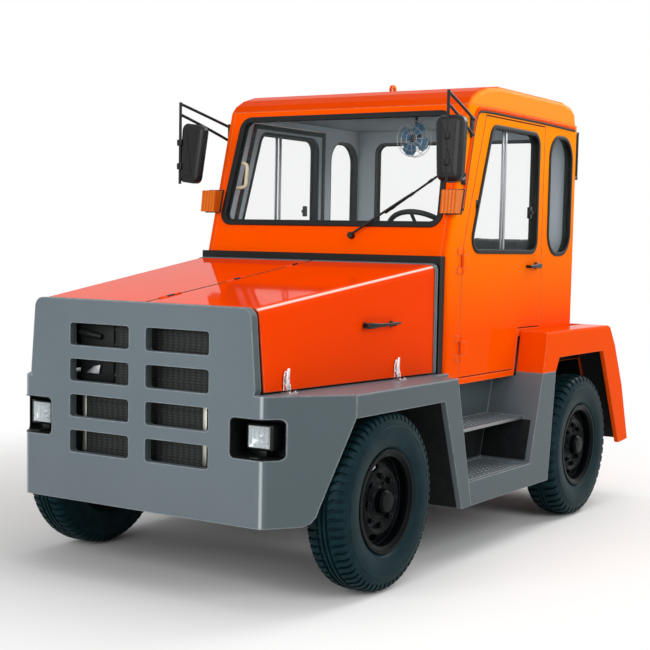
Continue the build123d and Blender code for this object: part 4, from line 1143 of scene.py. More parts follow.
def apply_modifier(piece: Piece, kind: str, **settings: object) -> None:
    """Add a modifier to a piece, set it and apply it.

    Args:
        piece: Piece to change.
        kind: Blender's name of the modifier type.
        settings: The modifier's properties.
    """
    take(piece)
    modifier = piece.modifiers.new(kind.title(), kind)
    for key, value in settings.items():
        setattr(modifier, key, value)
    bpy.ops.object.modifier_apply(modifier=modifier.name)


def rounded_block(name: str, low: Point, high: Point, edge: float = 0.0, steps: int = 2) -> Piece:
    """Block between two corners with rounded edges.

    Args:
        name: Name of the piece.
        low: Lowest corner.
        high: Highest corner.
        edge: Radius of the rounding.
        steps: Segments of the rounding.

    Returns:
        The piece.
    """
    clear_bench()
    a, b = Vector(low), Vector(high)
    bpy.ops.mesh.primitive_cube_add(size=1.0, location=(a + b) / 2)
    bpy.context.object.scale = b - a
    piece = named(name)
    if edge:
        edit_all(piece)
        bpy.ops.mesh.bevel(offset=edge, segments=steps, affect="EDGES")
        bpy.ops.object.mode_set(mode="OBJECT")
    return settle(piece)


def round_bar(
    name: str,
    start: Point,
    end: Point,
    radius: float,
    sides: int = 20,
    edge: float = 0.0,
) -> Piece:
    """Straight round or many-sided bar between two points.

    Args:
        name: Name of the piece.
        start: Centre of one end.
        end: Centre of the other end.
        radius: Radius of the bar.
        sides: Sides of the bar.
        edge: Rounding of its end edges.

    Returns:
        The piece.
    """
    clear_bench()
    a, b = Vector(start), Vector(end)
    turn = (b - a).to_track_quat("Z", "Y").to_euler()
    bpy.ops.mesh.primitive_cylinder_add(
        vertices=sides, radius=radius, depth=(b - a).length, location=(a + b) / 2, rotation=turn
    )
    piece = named(name)
    if edge:
        along = (b - a).normalized()
        pick_faces(piece, lambda centre, normal: abs(normal.dot(along)) > 0.9)
        bpy.ops.mesh.bevel(offset=edge, segments=2, affect="EDGES")
        bpy.ops.object.mode_set(mode="OBJECT")
    return settle(piece)


def bent_bar(
    name: str,
    points: Sequence[Point],
    radius: float,
    closed: bool = False,
    curved: bool = True,
    sides: int = 4,
) -> Piece:
    """Bar bent along a line of points.

    Args:
        name: Name of the piece.
        points: Points of the line.
        radius: Radius of the bar.
        closed: True for a loop.
        curved: True for smooth bends through a spline, False for straight runs.
        sides: Resolution of the round section.

    Returns:
        The piece, as a mesh.
    """
    clear_bench()
    line = bpy.data.curves.new(name, "CURVE")
    line.dimensions = "3D"
    line.bevel_depth = radius
    line.bevel_resolution = sides
    line.use_fill_caps = True
    spline = line.splines.new("NURBS" if curved else "POLY")
    spline.points.add(len(points) - 1)
    for knot, point in zip(spline.points, points):
        knot.co = (*point, 1.0)
    spline.use_cyclic_u = closed
    if curved:
        spline.order_u = 3
        spline.use_endpoint_u = not closed
        spline.resolution_u = 6
    piece = bpy.data.objects.new(name, line)
    bpy.context.scene.collection.objects.link(piece)
    take(piece)
    bpy.ops.object.convert(target="MESH")
    return settle(named(name), 50)


def laid_outline(name: str, outline: Sequence[Point]) -> Piece:
    """One flat face with the given corners, laid from a ring of edges.

    Args:
        name: Name of the piece.
        outline: Corners in order.

    Returns:
        The piece.
    """
    clear_bench()
    bpy.ops.mesh.primitive_circle_add(vertices=len(outline), radius=1.0)
    piece = named(name)
    for corner, point in zip(piece.data.vertices, outline):
        corner.co = point
    edit_all(piece)
    bpy.ops.mesh.edge_face_add()
    bpy.ops.object.mode_set(mode="OBJECT")
    return piece


def prism(name: str, outline: Sequence[Point], push: Point, edge: float = 0.0, steps: int = 2) -> Piece:
    """Plate or bar with a drawn outline.

    Args:
        name: Name of the piece.
        outline: Corners of one face in order.
        push: Direction and length of its thickness.
        edge: Rounding of its edges.
        steps: Segments of the rounding.

    Returns:
        The piece.
    """
    piece = laid_outline(name, outline)
    edit_all(piece)
    bpy.ops.mesh.extrude_region_move(TRANSFORM_OT_translate={"value": push})
    bpy.ops.mesh.select_all(action="SELECT")
    bpy.ops.mesh.normals_make_consistent(inside=False)
    if edge:
        bpy.ops.mesh.bevel(offset=edge, segments=steps, affect="EDGES")
    bpy.ops.object.mode_set(mode="OBJECT")
    return settle(piece)


def ribbon(line: Sequence[tuple[float, float]], thick: float) -> list[tuple[float, float]]:
    """Closed outline of a thin sheet that follows an open line.

    Args:
        line: Points of the line in its plane.
        thick: Thickness, laid on both sides of the line.

    Returns:
        Points of the outline.
    """
    spots = [Vector(spot) for spot in line]
    ways = [(b - a).normalized() for a, b in zip(spots, spots[1:])]
    one, other = [], []
    for i, spot in enumerate(spots):
        way = (ways[max(i - 1, 0)] + ways[min(i, len(ways) - 1)]).normalized()
        out = Vector((-way.y, way.x)) * thick / 2
        one.append(tuple(spot + out))
        other.append(tuple(spot - out))
    return one + other[::-1]


def seal_ring(name: str, outline: Sequence[Point], width: float, depth: float) -> Piece:
    """Rubber ring along a closed outline, lying inside it.

    Args:
        name: Name of the piece.
        outline: Outer edge of the ring.
        width: Width of the ring.
        depth: Thickness, half to each side of the outline's plane.

    Returns:
        The piece.
    """
    piece = laid_outline(name, outline)
    edit_all(piece)
    bpy.ops.mesh.select_mode(type="FACE")
    bpy.ops.mesh.inset(thickness=width, depth=0.0, use_even_offset=True)
    bpy.ops.mesh.delete(type="FACE")
    bpy.ops.object.mode_set(mode="OBJECT")
    apply_modifier(piece, "SOLIDIFY", thickness=depth, offset=0.0, use_even_offset=True)
    apply_modifier(piece, "BEVEL", width=min(width, depth) * 0.3, segments=2, limit_method="ANGLE")
    return settle(piece, 60)


def turned(name: str, profile: Sequence[Point], centre: Point, way: Way, steps: int = 48) -> Piece:
    """Piece turned on a lathe.

    Args:
        name: Name of the piece.
        profile: Points as radius and place along the axis.
        centre: Point on the axis from which places are counted.
        way: Direction of the axis.
        steps: Segments round the axis.

    Returns:
        The piece.
    """
    clear_bench()
    axis = Vector(way.value)
    across = Vector((0.0, 0.0, 1.0)) if way is not Way.UPWARDS else Vector((1.0, 0.0, 0.0))
    mesh = bpy.data.meshes.new(name)
    points = [Vector(centre) + across * r + axis * s for r, s in profile]
    mesh.from_pydata(points, [(i, i + 1) for i in range(len(points) - 1)], [])
    piece = bpy.data.objects.new(name, mesh)
    bpy.context.scene.collection.objects.link(piece)
    edit_all(piece)
    bpy.ops.mesh.spin(steps=steps, angle=2 * math.pi, center=centre, axis=axis)
    bpy.ops.object.mode_set(mode="OBJECT")
    return settle(piece)


def copy_round(piece: Piece, centre: Point, way: Way, count: int) -> Piece:
    """Repeat a piece's mesh round an axis.

    Args:
        piece: Piece modelled once.
        centre: Point on the axis.
        way: Direction of the axis.
        count: How many there are in a full turn.

    Returns:
        The same piece, with all copies in its mesh.
    """
    edit_all(piece)
    bpy.ops.mesh.spin(
        steps=count, dupli=True, angle=2 * math.pi, use_auto_merge=False, center=centre, axis=way.value
    )
    bpy.ops.object.mode_set(mode="OBJECT")
    return settle(piece)


def copied(piece: Piece, name: str, shift: Point = (0.0, 0.0, 0.0), flip: bool = False) -> Piece:
    """Copy of a piece with a mesh of its own.

    Args:
        piece: Piece to copy.
        name: Name of the copy.
        shift: How far the copy is moved.
        flip: True to mirror it to the other side of the tractor first.

    Returns:
        The copy.
    """
    mesh = piece.data.copy()
    mesh.name = name
    if flip:
        mesh.transform(Matrix.Diagonal((1.0, -1.0, 1.0, 1.0)))
        mesh.flip_normals()
    mesh.transform(Matrix.Translation(shift))
    copy = bpy.data.objects.new(name, mesh)
    bpy.context.scene.collection.objects.link(copy)
    return copy


def joined(name: str, pieces: Sequence[Piece]) -> Piece:
    """Join several pieces into the first one.

    Args:
        name: Name of the result.
        pieces: Pieces of one finish.

    Returns:
        The joined piece.
    """
    take(pieces[0])
    for piece in pieces[1:]:
        piece.select_set(True)
    bpy.ops.object.join()
    piece = bpy.context.object
    piece.name = name
    piece.data.name = name
    return piece


def rounded_outline(
    corners: Sequence[tuple[float, float]],
    radius: float,
    steps: int = 7,
) -> list[tuple[float, float]]:
    """Round the corners of a flat outline.

    Args:
        corners: Corners in order.
        radius: Radius of every corner.
        steps: Segments at each corner.

    Returns:
        Points of the rounded outline.
    """
    line: list[tuple[float, float]] = []
    count = len(corners)
    for i, corner in enumerate(corners):
        here = Vector(corner)
        before = (Vector(corners[i - 1]) - here).normalized()
        after = (Vector(corners[(i + 1) % count]) - here).normalized()
        half = math.acos(max(-1.0, min(1.0, before.dot(after)))) / 2
        middle = here + (before + after).normalized() * (radius / math.sin(half))
        first = here + before * (radius / math.tan(half)) - middle
        last = here + after * (radius / math.tan(half)) - middle
        sweep = math.atan2(first.x * last.y - first.y * last.x, first.dot(last))
        for step in range(steps + 1):
            turn = Matrix.Rotation(sweep * step / steps, 2)
            spot = middle + turn @ first
            line.append((spot.x, spot.y))
    return line


def grown(corners: Sequence[tuple[float, float]], by: float) -> list[tuple[float, float]]:
    """Move every side of a convex outline outwards.

    Args:
        corners: Corners in order.
        by: Distance, inwards if negative.

    Returns:
        The new corners.
    """
    count = len(corners)
    area = sum(
        corners[i][0] * corners[(i + 1) % count][1] - corners[(i + 1) % count][0] * corners[i][1]
        for i in range(count)
    )
    sign = 1.0 if area > 0 else -1.0
    moved = []
    for i, corner in enumerate(corners):
        here = Vector(corner)
        along_in = (here - Vector(corners[i - 1])).normalized()
        along_out = (Vector(corners[(i + 1) % count]) - here).normalized()
        out_in = Vector((along_in.y, -along_in.x)) * sign
        out_out = Vector((along_out.y, -along_out.x)) * sign
        shift = (out_in + out_out) / (1.0 + out_in.dot(out_out)) * by
        moved.append((here.x + shift.x, here.y + shift.y))
    return moved


@dataclass
class Placed:
    """A finished piece with its finish, its body and the CAD nodes that it stands for."""

    piece: Piece
    finish: Finish
    body: str
    nodes: tuple[str, ...] = ()


@dataclass
class SubAssembly:
    """Pieces that are built together and then dressed."""

    layout: Layout
    finishes: Finishes
    made: list[Placed] = field(default_factory=list)

    def place(self, piece: Piece, finish: Finish, body: str, *nodes: str) -> None:
        """Keep a piece for dressing.

        Args:
            piece: The piece.
            finish: Its finish.
            body: CAD body that it rides on.
            nodes: CAD nodes that it stands for.
        """
        self.made.append(Placed(piece, finish, body, nodes))

    def place_pair(self, left: Piece, finish: Finish, part: str = "", node: str = "") -> None:
        """Keep a left piece and its mirror image.

        Args:
            left: The left piece, whose name ends in its side.
            finish: Finish of both.
            part: End of the bodies' names, or nothing for the chassis.
            node: Start of the names of the CAD nodes that they stand for, or nothing.
        """
        right = copied(left, left.name.replace("_left", "_right"), flip=True)
        for side, piece in (("left", left), ("right", right)):
            body = f"{side}_{part}" if part else "chassis"
            nodes = [f"{node}_{side}"] if node else []
            self.place(piece, finish, body, *nodes)

    def build(self) -> None:
        """Model the pieces."""
        raise NotImplementedError

    def dress(self) -> None:
        """Give each piece its finish and set it on its body."""
        for placed in self.made:
            placed.piece.data.materials.clear()
            placed.piece.data.materials.append(placed.finish.material())
            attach(placed.piece, placed.body)
            if placed.nodes:
                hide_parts(*placed.nodes)
            LOG.info("%s rides on %s", placed.piece.name, placed.body)


@dataclass
class CadShell(SubAssembly):
    """CAD nodes that stay in view and get their finishes."""

    def build(self) -> None:
        """Nothing is modelled here: the nodes are in the frame."""

    def dress(self) -> None:
        """Give every CAD node its finish."""
        book = self.finishes
        plain = {
            "grey_paint": book.grey,
            "orange_paint": book.orange,
            "black_paint": book.black,
            "tyre_rubber": book.tyre,
            "core_metal": book.core,
            "engine_iron": book.iron,
            "lamp_clear": book.lamp_glass,
            "lamp_red": book.red,
            "lamp_amber": book.amber,
            "clear_glass": book.clear,
            "dark_plastic": book.plastic,
            "seat_cloth": book.cloth,
            "fan_blue": book.fan,
            "seal_rubber": book.seal,
            "latch_chrome": book.chrome,
        }
        special = {
            "rim_front_left": book.rim,
            "rim_front_right": book.rim,
            "rim_rear_left": book.rim,
            "rim_rear_right": book.rim,
            "cab_side_left": book.orange_left,
            "door_left": book.orange_left,
            "cab_side_right": book.orange_right,
            "door_right": book.orange_right,
            "cab_front": book.orange_front,
            "cab_rear": book.orange_rear,
            "cab_roof": book.orange_roof,
            "rear_panel": book.orange_tail,
            "front_bumper": book.grey_bumper,
            "bonnet_left": book.bonnet_left,
            "bonnet_right": book.bonnet_right,
            "door_handle_left": book.grip,
            "door_handle_right": book.grip,
            "bonnet_handle_left": book.grip,
            "bonnet_handle_right": book.grip,
        }
        for row in frame["record"]["subparts"]:
            node = frame["nodes"][row["node"]]
            finish = special.get(row["node"], plain[row["material_slot"]])
            node.data.materials.clear()
            node.data.materials.append(finish.material())
            LOG.info("%s wears %s", row["node"], finish.name)


@dataclass
class Wheels(SubAssembly):
    """Four tyres with lugged shoulders, and the studs and rings of their rims."""

    front_lugs: int = 64
    rear_lugs: int = 46
    nut_count: int = 8
    nut_circle: float = 0.104
    nut_r: float = 0.0125

    def build(self) -> None:
        """Model the two front and the two rear wheels."""
        at = self.layout
        self.axle("front", at.front_axle_x, self.front_lugs, 0.0220, 0.0285)
        self.axle("rear", at.rear_axle_x, self.rear_lugs, 0.0320, 0.0200)

    def axle(self, end: str, x: float, lugs: int, lug_long: float, lug_in: float) -> None:
        """Model the left wheel's pieces of one axle and mirror them to the right.

        Args:
            end: Front or rear.
            x: Station of the axle.
            lugs: Lugs round each shoulder.
            lug_long: Length of a lug along the tread.
            lug_in: Inner end of a lug, from the tread's middle.
        """
        home = (x, self.layout.track_y, self.layout.tyre_r)
        tyre = self.tyre(f"tyre_tread_{end}_left", home, lugs, lug_long, lug_in)
        nuts = self.nuts(f"wheel_nuts_{end}_left", home)
        ring = self.lock_ring(f"rim_lock_ring_{end}_left", home)
        for side in Side:
            tag = f"{end}_{side.name.lower()}"
            mine = side is Side.LEFT
            rubber = tyre if mine else copied(tyre, f"tyre_tread_{tag}", flip=True)
            self.place(rubber, self.finishes.tyre, f"{tag}_wheel", f"tyre_{tag}")
            metal = nuts if mine else copied(nuts, f"wheel_nuts_{tag}", flip=True)
            self.place(metal, self.finishes.rim, f"{tag}_wheel")
            band = ring if mine else copied(ring, f"rim_lock_ring_{tag}", flip=True)
            self.place(band, self.finishes.rim, f"{tag}_wheel")

    def tyre(self, name: str, home: Point, lugs: int, lug_long: float, lug_in: float) -> Piece:
        """Carcass with wall ribs, and lugs along both shoulders.

        Args:
            name: Name of the piece.
            home: Centre of the wheel.
            lugs: Lugs round each shoulder.
            lug_long: Length of a lug along the tread.
            lug_in: Inner end of a lug, from the tread's middle.

        Returns:
            The tyre.
        """
        half = [
            (0.2045, 0.0655),
            (0.2220, 0.0720),
            (0.2310, 0.0800),
            (0.2345, 0.0838),
            (0.2400, 0.0850),
            (0.2520, 0.0890),
            (0.2650, 0.0925),
            (0.2780, 0.0948),
            (0.2920, 0.0960),
            (0.3060, 0.0962),
            (0.3150, 0.0956),
            (0.3165, 0.0966),
            (0.3195, 0.0963),
            (0.3210, 0.0946),
            (0.3340, 0.0918),
            (0.3480, 0.0868),
            (0.3590, 0.0790),
            (0.3680, 0.0660),
            (0.3720, 0.0480),
            (0.3735, 0.0300),
            (0.3735, 0.0170),
            (0.3835, 0.0155),
            (0.3840, 0.0060),
            (0.3745, 0.0045),
        ]
        wall = half + [(r, -s) for r, s in reversed(half)]
        carcass = turned(name, wall, home, Way.LEFTWARDS, 96)
        crown = [
            (0.3470, 0.0888),
            (0.3590, 0.0868),
            (0.3710, 0.0800),
            (0.3785, 0.0680),
            (0.3825, 0.0500),
            (0.3838, lug_in),
        ]
        foot = [(0.3690, lug_in), (0.3640, 0.0640), (0.3420, 0.0860)]
        teeth = []
        for sign in (1, -1):
            outline = [(home[0] - lug_long / 2, home[1] + sign * s, home[2] + r) for r, s in crown + foot]
            tooth = prism(f"{name}_lug", outline, (lug_long, 0.0, 0.0))
            for spot in tooth.data.vertices:
                inner = abs(spot.co.y - home[1]) < lug_in + 0.001
                spot.co.x += 0.010 * sign if inner else 0.0
            turn = 0.0 if sign > 0 else math.pi / lugs
            tooth.data.transform(
                Matrix.Translation(home) @ Matrix.Rotation(turn, 4, "Y") @ Matrix.Translation(-Vector(home))
            )
            teeth.append(copy_round(tooth, home, Way.LEFTWARDS, lugs))
        return settle(joined(name, [carcass, *teeth]), 35)

    def nuts(self, name: str, home: Point) -> Piece:
        """Ring of wheel nuts on their studs.

        Args:
            name: Name of the piece.
            home: Centre of the wheel.

        Returns:
            The nuts.
        """
        spot = Vector(home) + Vector((0.0, 0.040, self.nut_circle))
        nut = round_bar(name, spot, spot + Vector((0, 0.016, 0)), self.nut_r, 6, 0.002)
        stud = round_bar(f"{name}_stud", spot, spot + Vector((0, 0.024, 0)), 0.007, 12, 0.001)
        return copy_round(joined(name, [nut, stud]), home, Way.LEFTWARDS, self.nut_count)

    def lock_ring(self, name: str, home: Point) -> Piece:
        """Rolled edge and lock ring on the rim's outer lip.

        Args:
            name: Name of the piece.
            home: Centre of the wheel.

        Returns:
            The ring.
        """
        lip = [
            (0.1900, 0.0670),
            (0.1915, 0.0740),
            (0.1980, 0.0770),
            (0.2040, 0.0820),
            (0.2120, 0.0835),
            (0.2190, 0.0830),
            (0.2215, 0.0800),
            (0.2205, 0.0770),
        ]
        return turned(name, lip, home, Way.LEFTWARDS, 64)


@dataclass
class FrontEnd(SubAssembly):
    """Head lamps in lined corners, and the radiator behind the slots."""

    lamp_y: float = 0.5895
    lamp_half: float = 0.063
    lamp_low: float = 0.642
    lamp_high: float = 0.750
    lamp_face_x: float = 1.700
    hole_in: float = 0.482
    hole_out: float = 0.697
    hole_low: float = 0.610
    hole_high: float = 0.773
    hole_r: float = 0.022

    def build(self) -> None:
        """Model the lamps, their liners and what shows behind the slots."""
        self.head_lamps()
        self.corner_liners()
        self.radiator_front()

    def head_lamps(self) -> None:
        """Square lamps: shell with a deep reflector, bulb, bezel and fluted lens."""
        shells, mirrors, lenses = [], [], []
        face = self.lamp_face_x
        for side in Side:
            y = side.value * self.lamp_y
            half = self.lamp_half
            tag = side.name.lower()
            middle = (self.lamp_low + self.lamp_high) / 2
            low = (face - 0.070, y - half, self.lamp_low)
            high = (face, y + half, self.lamp_high)
            shell = rounded_block(f"lamp_shell_{tag}", low, high, 0.010, 3)
            pick_faces(shell, lambda centre, normal: normal.x > 0.99 and centre.x > face - 0.001)
            bpy.ops.mesh.extrude_region_move(TRANSFORM_OT_translate={"value": (-0.022, 0.0, 0.0)})
            bpy.ops.object.mode_set(mode="OBJECT")
            shells.append(settle(shell))
            shells.append(
                rounded_block(
                    f"lamp_foot_{tag}",
                    (face - 0.050, y - 0.020, self.hole_low),
                    (face + 0.036, y + 0.020, self.hole_low + 0.010),
                    0.002,
                )
            )
            shells.append(
                rounded_block(
                    f"lamp_neck_{tag}",
                    (face - 0.050, y - 0.020, self.hole_low + 0.006),
                    (face - 0.026, y + 0.020, self.lamp_low + 0.003),
                    0.002,
                )
            )
            bowl = rounded_block(
                f"lamp_bowl_{tag}",
                (face - 0.024, y - half + 0.010, self.lamp_low + 0.010),
                (face - 0.006, y + half - 0.010, self.lamp_high - 0.010),
            )
            pick_faces(bowl, lambda centre, normal: normal.x > 0.9)
            bpy.ops.mesh.inset(thickness=0.003)
            bpy.ops.mesh.inset(thickness=0.012, depth=-0.006)
            bpy.ops.mesh.inset(thickness=0.014, depth=-0.004)
            bpy.ops.mesh.inset(thickness=0.010, depth=-0.002)
            bpy.ops.object.mode_set(mode="OBJECT")
            apply_modifier(bowl, "BEVEL", width=0.002, segments=2)
            mirrors.append(settle(bowl, 50))
            mirrors.append(
                round_bar(
                    f"lamp_bulb_{tag}",
                    (face - 0.020, y, middle),
                    (face - 0.008, y, middle),
                    0.011,
                    16,
                    0.004,
                ),
            )
            lens = rounded_block(
                f"lamp_lens_{tag}",
                (face - 0.005, y - half + 0.0085, self.lamp_low + 0.0085),
                (face - 0.001, y + half - 0.0085, self.lamp_high - 0.0085),
                0.001,
                1,
            )
            pick_faces(lens, lambda centre, normal: normal.x > 0.9 and abs(centre.y - y) < 0.01)
            bpy.ops.mesh.inset(thickness=0.012, depth=0.0025)
            bpy.ops.mesh.inset(thickness=0.014, depth=0.0015)
            bpy.ops.object.mode_set(mode="OBJECT")
            lenses.append(settle(lens, 60))
        self.place(joined("head_lamp_shells", shells), self.finishes.grip, "chassis", "headlamps")
        self.place(joined("head_lamp_reflectors", mirrors), self.finishes.silver, "chassis")
        self.place(joined("head_lamp_lenses", lenses), self.finishes.lamp_glass, "chassis")

    def corner_liners(self) -> None:
        """Black liner in each lamp opening, cut to the flare's slant."""
        corners = [
            (self.hole_in, self.hole_low),
            (self.hole_out, self.hole_low),
            (self.hole_out, self.hole_high),
            (self.hole_in, self.hole_high),
        ]
        line = rounded_outline(grown(corners, -0.0004), self.hole_r, 6)
        left = prism("lamp_liner_left", [(1.7485, y, z) for y, z in line], (-0.140, 0.0, 0.0))
        pick_faces(left, lambda centre, normal: normal.x > 0.9)
        bpy.ops.mesh.delete(type="FACE")
        bpy.ops.object.mode_set(mode="OBJECT")
        edit_all(left)
        bpy.ops.mesh.bisect(
            plane_co=(1.7480, 0.6350, 0.0), plane_no=(0.6, 0.8, 0.0), clear_outer=True, use_fill=False
        )
        bpy.ops.object.mode_set(mode="OBJECT")
        apply_modifier(left, "SOLIDIFY", thickness=0.003, offset=-1.0)
        settle(left)
        self.place_pair(left, self.finishes.seal)

    def radiator_front(self) -> None:
        """Pale side strips, and the dark shroud with its hose and bracket at the right."""
        strips = [
            rounded_block(
                f"radiator_strip_{y:.2f}", (1.6625, y - 0.010, 0.545), (1.6720, y + 0.010, 0.826), 0.002
            )
            for y in (-0.362, 0.297)
        ]
        self.place(joined("radiator_side_strips", strips), self.finishes.tank, "chassis")
        shroud = rounded_block("radiator_shroud", (1.6685, -0.386, 0.852), (1.6730, -0.196, 1.118), 0.002)
        hose = bent_bar(
            "radiator_hose",
            [
                (1.676, -0.380, 1.060),
                (1.690, -0.340, 1.058),
                (1.690, -0.290, 1.050),
                (1.676, -0.262, 1.045),
            ],
            0.013,
        )
        self.place(joined("radiator_shroud_and_hose", [shroud, hose]), self.finishes.seal, "chassis")
        bracket = prism(
            "radiator_bracket",
            [
                (1.674, -0.345, 0.885),
                (1.674, -0.270, 0.885),
                (1.674, -0.262, 0.925),
                (1.674, -0.300, 0.918),
            ],
            (0.010, 0.0, 0.0),
            0.002,
        )
        self.place(bracket, self.finishes.zinc, "chassis")


@dataclass
class RearEnd(SubAssembly):
    """Frames of the tail lamps and the bolts of the hitch."""

    lamp_in: float = 0.450
    lamp_out: float = 0.600
    lamp_low: float = 0.770
    lamp_high: float = 0.843

    def build(self) -> None:
        """Model the lamp frames and the hitch's bolts."""
        self.lamp_frames()
        self.hitch_bolts()

    def panel_x(self, z: float) -> float:
        """Outer face of the sloping rear panel at a height."""
        return -1.370 + (z - 0.910) / 0.240 * 0.130

    def lamp_frames(self) -> None:
        """Rubber frame round each tail lamp, with a rib between its two halves."""
        corners = [
            (self.lamp_in, self.lamp_low + 0.003),
            (self.lamp_out, self.lamp_low + 0.003),
            (self.lamp_out, self.lamp_high + 0.010),
            (self.lamp_in, self.lamp_high + 0.010),
        ]
        line = rounded_outline(grown(corners, 0.005), 0.010, 4)
        ring = seal_ring(
            "tail_lamp_frame_left", [(self.panel_x(z) - 0.012, y, z) for y, z in line], 0.009, 0.026
        )
        y = (self.lamp_in + self.lamp_out) / 2
        mid = (self.lamp_low + self.lamp_high) / 2
        rib = rounded_block(
            "tail_lamp_rib",
            (self.panel_x(mid) - 0.034, y - 0.003, self.lamp_low + 0.012),
            (self.panel_x(mid) - 0.016, y + 0.003, self.lamp_high + 0.004),
            0.002,
        )
        left = joined("tail_lamp_frame_left", [ring, rib])
        self.place_pair(left, self.finishes.seal)

    def hitch_bolts(self) -> None:
        """Four bolts with washers on the hitch's back plate."""
        pieces = []
        for y in (-0.125, 0.125):
            for z in (0.446, 0.514):
                pieces.append(
                    round_bar(f"hitch_washer_{y}_{z}", (-1.6595, y, z), (-1.6635, y, z), 0.017, 24, 0.001),
                )
                pieces.append(
                    round_bar(f"hitch_bolt_{y}_{z}", (-1.6630, y, z), (-1.6740, y, z), 0.012, 6, 0.0015),
                )
        self.place(joined("hitch_bolts", pieces), self.finishes.zinc, "chassis")


@dataclass
class BonnetTrim(SubAssembly):
    """Edge strips and over-centre latches of the gull-wing bonnet."""

    strip_long: float = 0.027
    strip_t: float = 0.0018

    def build(self) -> None:
        """Model the strips and latches."""
        self.edge_strips()
        self.latches()
        self.handles()

    def edge_strips(self) -> None:
        """Grey strip along the rear edge of each half."""
        at = self.layout
        line = ribbon(at.bonnet_edge(at.bonnet_rear_x, 0.0011), self.strip_t)
        outline = [(at.bonnet_rear_x + 0.002, y, z) for y, z in line]
        left = prism("bonnet_edge_strip_left", outline, (self.strip_long, 0.0, -0.0037))
        settle(left)
        self.place_pair(left, self.finishes.grey, "bonnet")

    def handles(self) -> None:
        """Leaf-shaped pull on each side of the bonnet, on two posts."""
        z = 1.112
        shape = [
            (1.050, -0.004),
            (1.044, 0.009),
            (1.020, 0.014),
            (0.960, 0.009),
            (0.880, 0.008),
            (0.812, 0.011),
            (0.800, 0.008),
            (0.806, 0.000),
            (0.880, -0.005),
            (0.960, -0.009),
            (1.020, -0.014),
            (1.044, -0.012),
        ]
        line = [(x, self.side_y(x, z) + 0.026, z + rise) for x, rise in shape]
        pull = prism("bonnet_pull", line, (0.0, 0.014, 0.0), 0.004, 3)
        posts = []
        for x in (1.022, 0.828):
            y = self.side_y(x, z)
            posts.append(
                round_bar(
                    f"bonnet_pull_post_{x:.2f}", (x, y + 0.0015, z), (x, y + 0.030, z), 0.009, 16, 0.002
                ),
            )
            posts.append(
                round_bar(
                    f"bonnet_pull_rose_{x:.2f}", (x, y + 0.0015, z), (x, y + 0.006, z), 0.015, 20, 0.001
                ),
            )
        left = joined("bonnet_pull_left", [pull, *posts])
        self.place_pair(left, self.finishes.grip, "bonnet", "bonnet_handle")

    def side_y(self, x: float, z: float) -> float:
        """Outer face of the bonnet's side at a station and height.

        Args:
            x: Station.
            z: Height.

        Returns:
            Its distance from the middle.
        """
        edge = self.layout.bonnet_edge(x)
        (high_y, high_z), (low_y, low_z) = edge[-2], edge[-1]
        return low_y + (high_y - low_y) * (z - low_z) / (high_z - low_z)

    def latches(self) -> None:
        """Over-centre levers on the bonnet's sides, and the bolts of their keepers."""
        levers, bolts = [], []
        z = self.layout.fender_top
        for x in (1.566, 0.792):
            edge = self.layout.bonnet_edge(x - 0.015)[-1][0] + 0.0003
            levers += self.lever(f"latch_{x:.2f}", x, edge)
            for shift in (-0.021, 0.021):
                bolts.append(
                    round_bar(
                        f"keeper_bolt_{x + shift:.2f}",
                        (x + shift, edge + 0.034, z + 0.003),
                        (x + shift, edge + 0.034, z + 0.009),
                        0.006,
                        6,
                        0.001,
                    )
                )
        left = joined("latch_set_left", levers)
        self.place_pair(left, self.finishes.chrome, "bonnet", "latch_levers")
        self.place_pair(joined("keeper_bolts_left", bolts), self.finishes.zinc)

    def lever(self, name: str, x: float, y: float) -> list[Piece]:
        """One lever on its back plate.

        Args:
            name: Name of the piece.
            x: Station of its middle.
            y: Outer face of the bonnet's side there.

        Returns:
            The latch's pieces.
        """
        z = self.layout.bonnet_low_z + 0.001
        plate = prism(
            f"{name}_plate",
            [
                (x - 0.017, y, z),
                (x + 0.017, y, z),
                (x + 0.017, y, z + 0.034),
                (x + 0.008, y, z + 0.078),
                (x - 0.008, y, z + 0.078),
                (x - 0.017, y, z + 0.034),
            ],
            (0.0, 0.004, 0.0),
            0.001,
            1,
        )
        cheeks = [
            prism(
                f"{name}_cheek{s}",
                [
                    (x + s * 0.011, y + 0.003, z),
                    (x + s * 0.011, y + 0.019, z),
                    (x + s * 0.011, y + 0.017, z + 0.022),
                    (x + s * 0.011, y + 0.003, z + 0.034),
                ],
                (s * 0.003, 0.0, 0.0),
                0.0006,
                1,
            )
            for s in (-1, 1)
        ]
        handle = prism(
            f"{name}_handle",
            [
                (x - 0.0105, y + 0.012, z + 0.004),
                (x - 0.0105, y + 0.019, z + 0.006),
                (x - 0.0105, y + 0.015, z + 0.044),
                (x - 0.0105, y + 0.019, z + 0.090),
                (x - 0.0105, y + 0.014, z + 0.090),
                (x - 0.0105, y + 0.008, z + 0.048),
            ],
            (0.021, 0.0, 0.0),
            0.0018,
        )
        for spot in handle.data.vertices:
            tip = max(0.0, (spot.co.z - z - 0.050) / 0.040)
            spot.co.x = x + (spot.co.x - x) * (1.0 - 0.35 * tip)
        pin = round_bar(
            f"{name}_pin",
            (x - 0.0155, y + 0.011, z + 0.016),
            (x + 0.0155, y + 0.011, z + 0.016),
            0.0035,
            12,
        )
        return [plate, *cheeks, handle, pin]


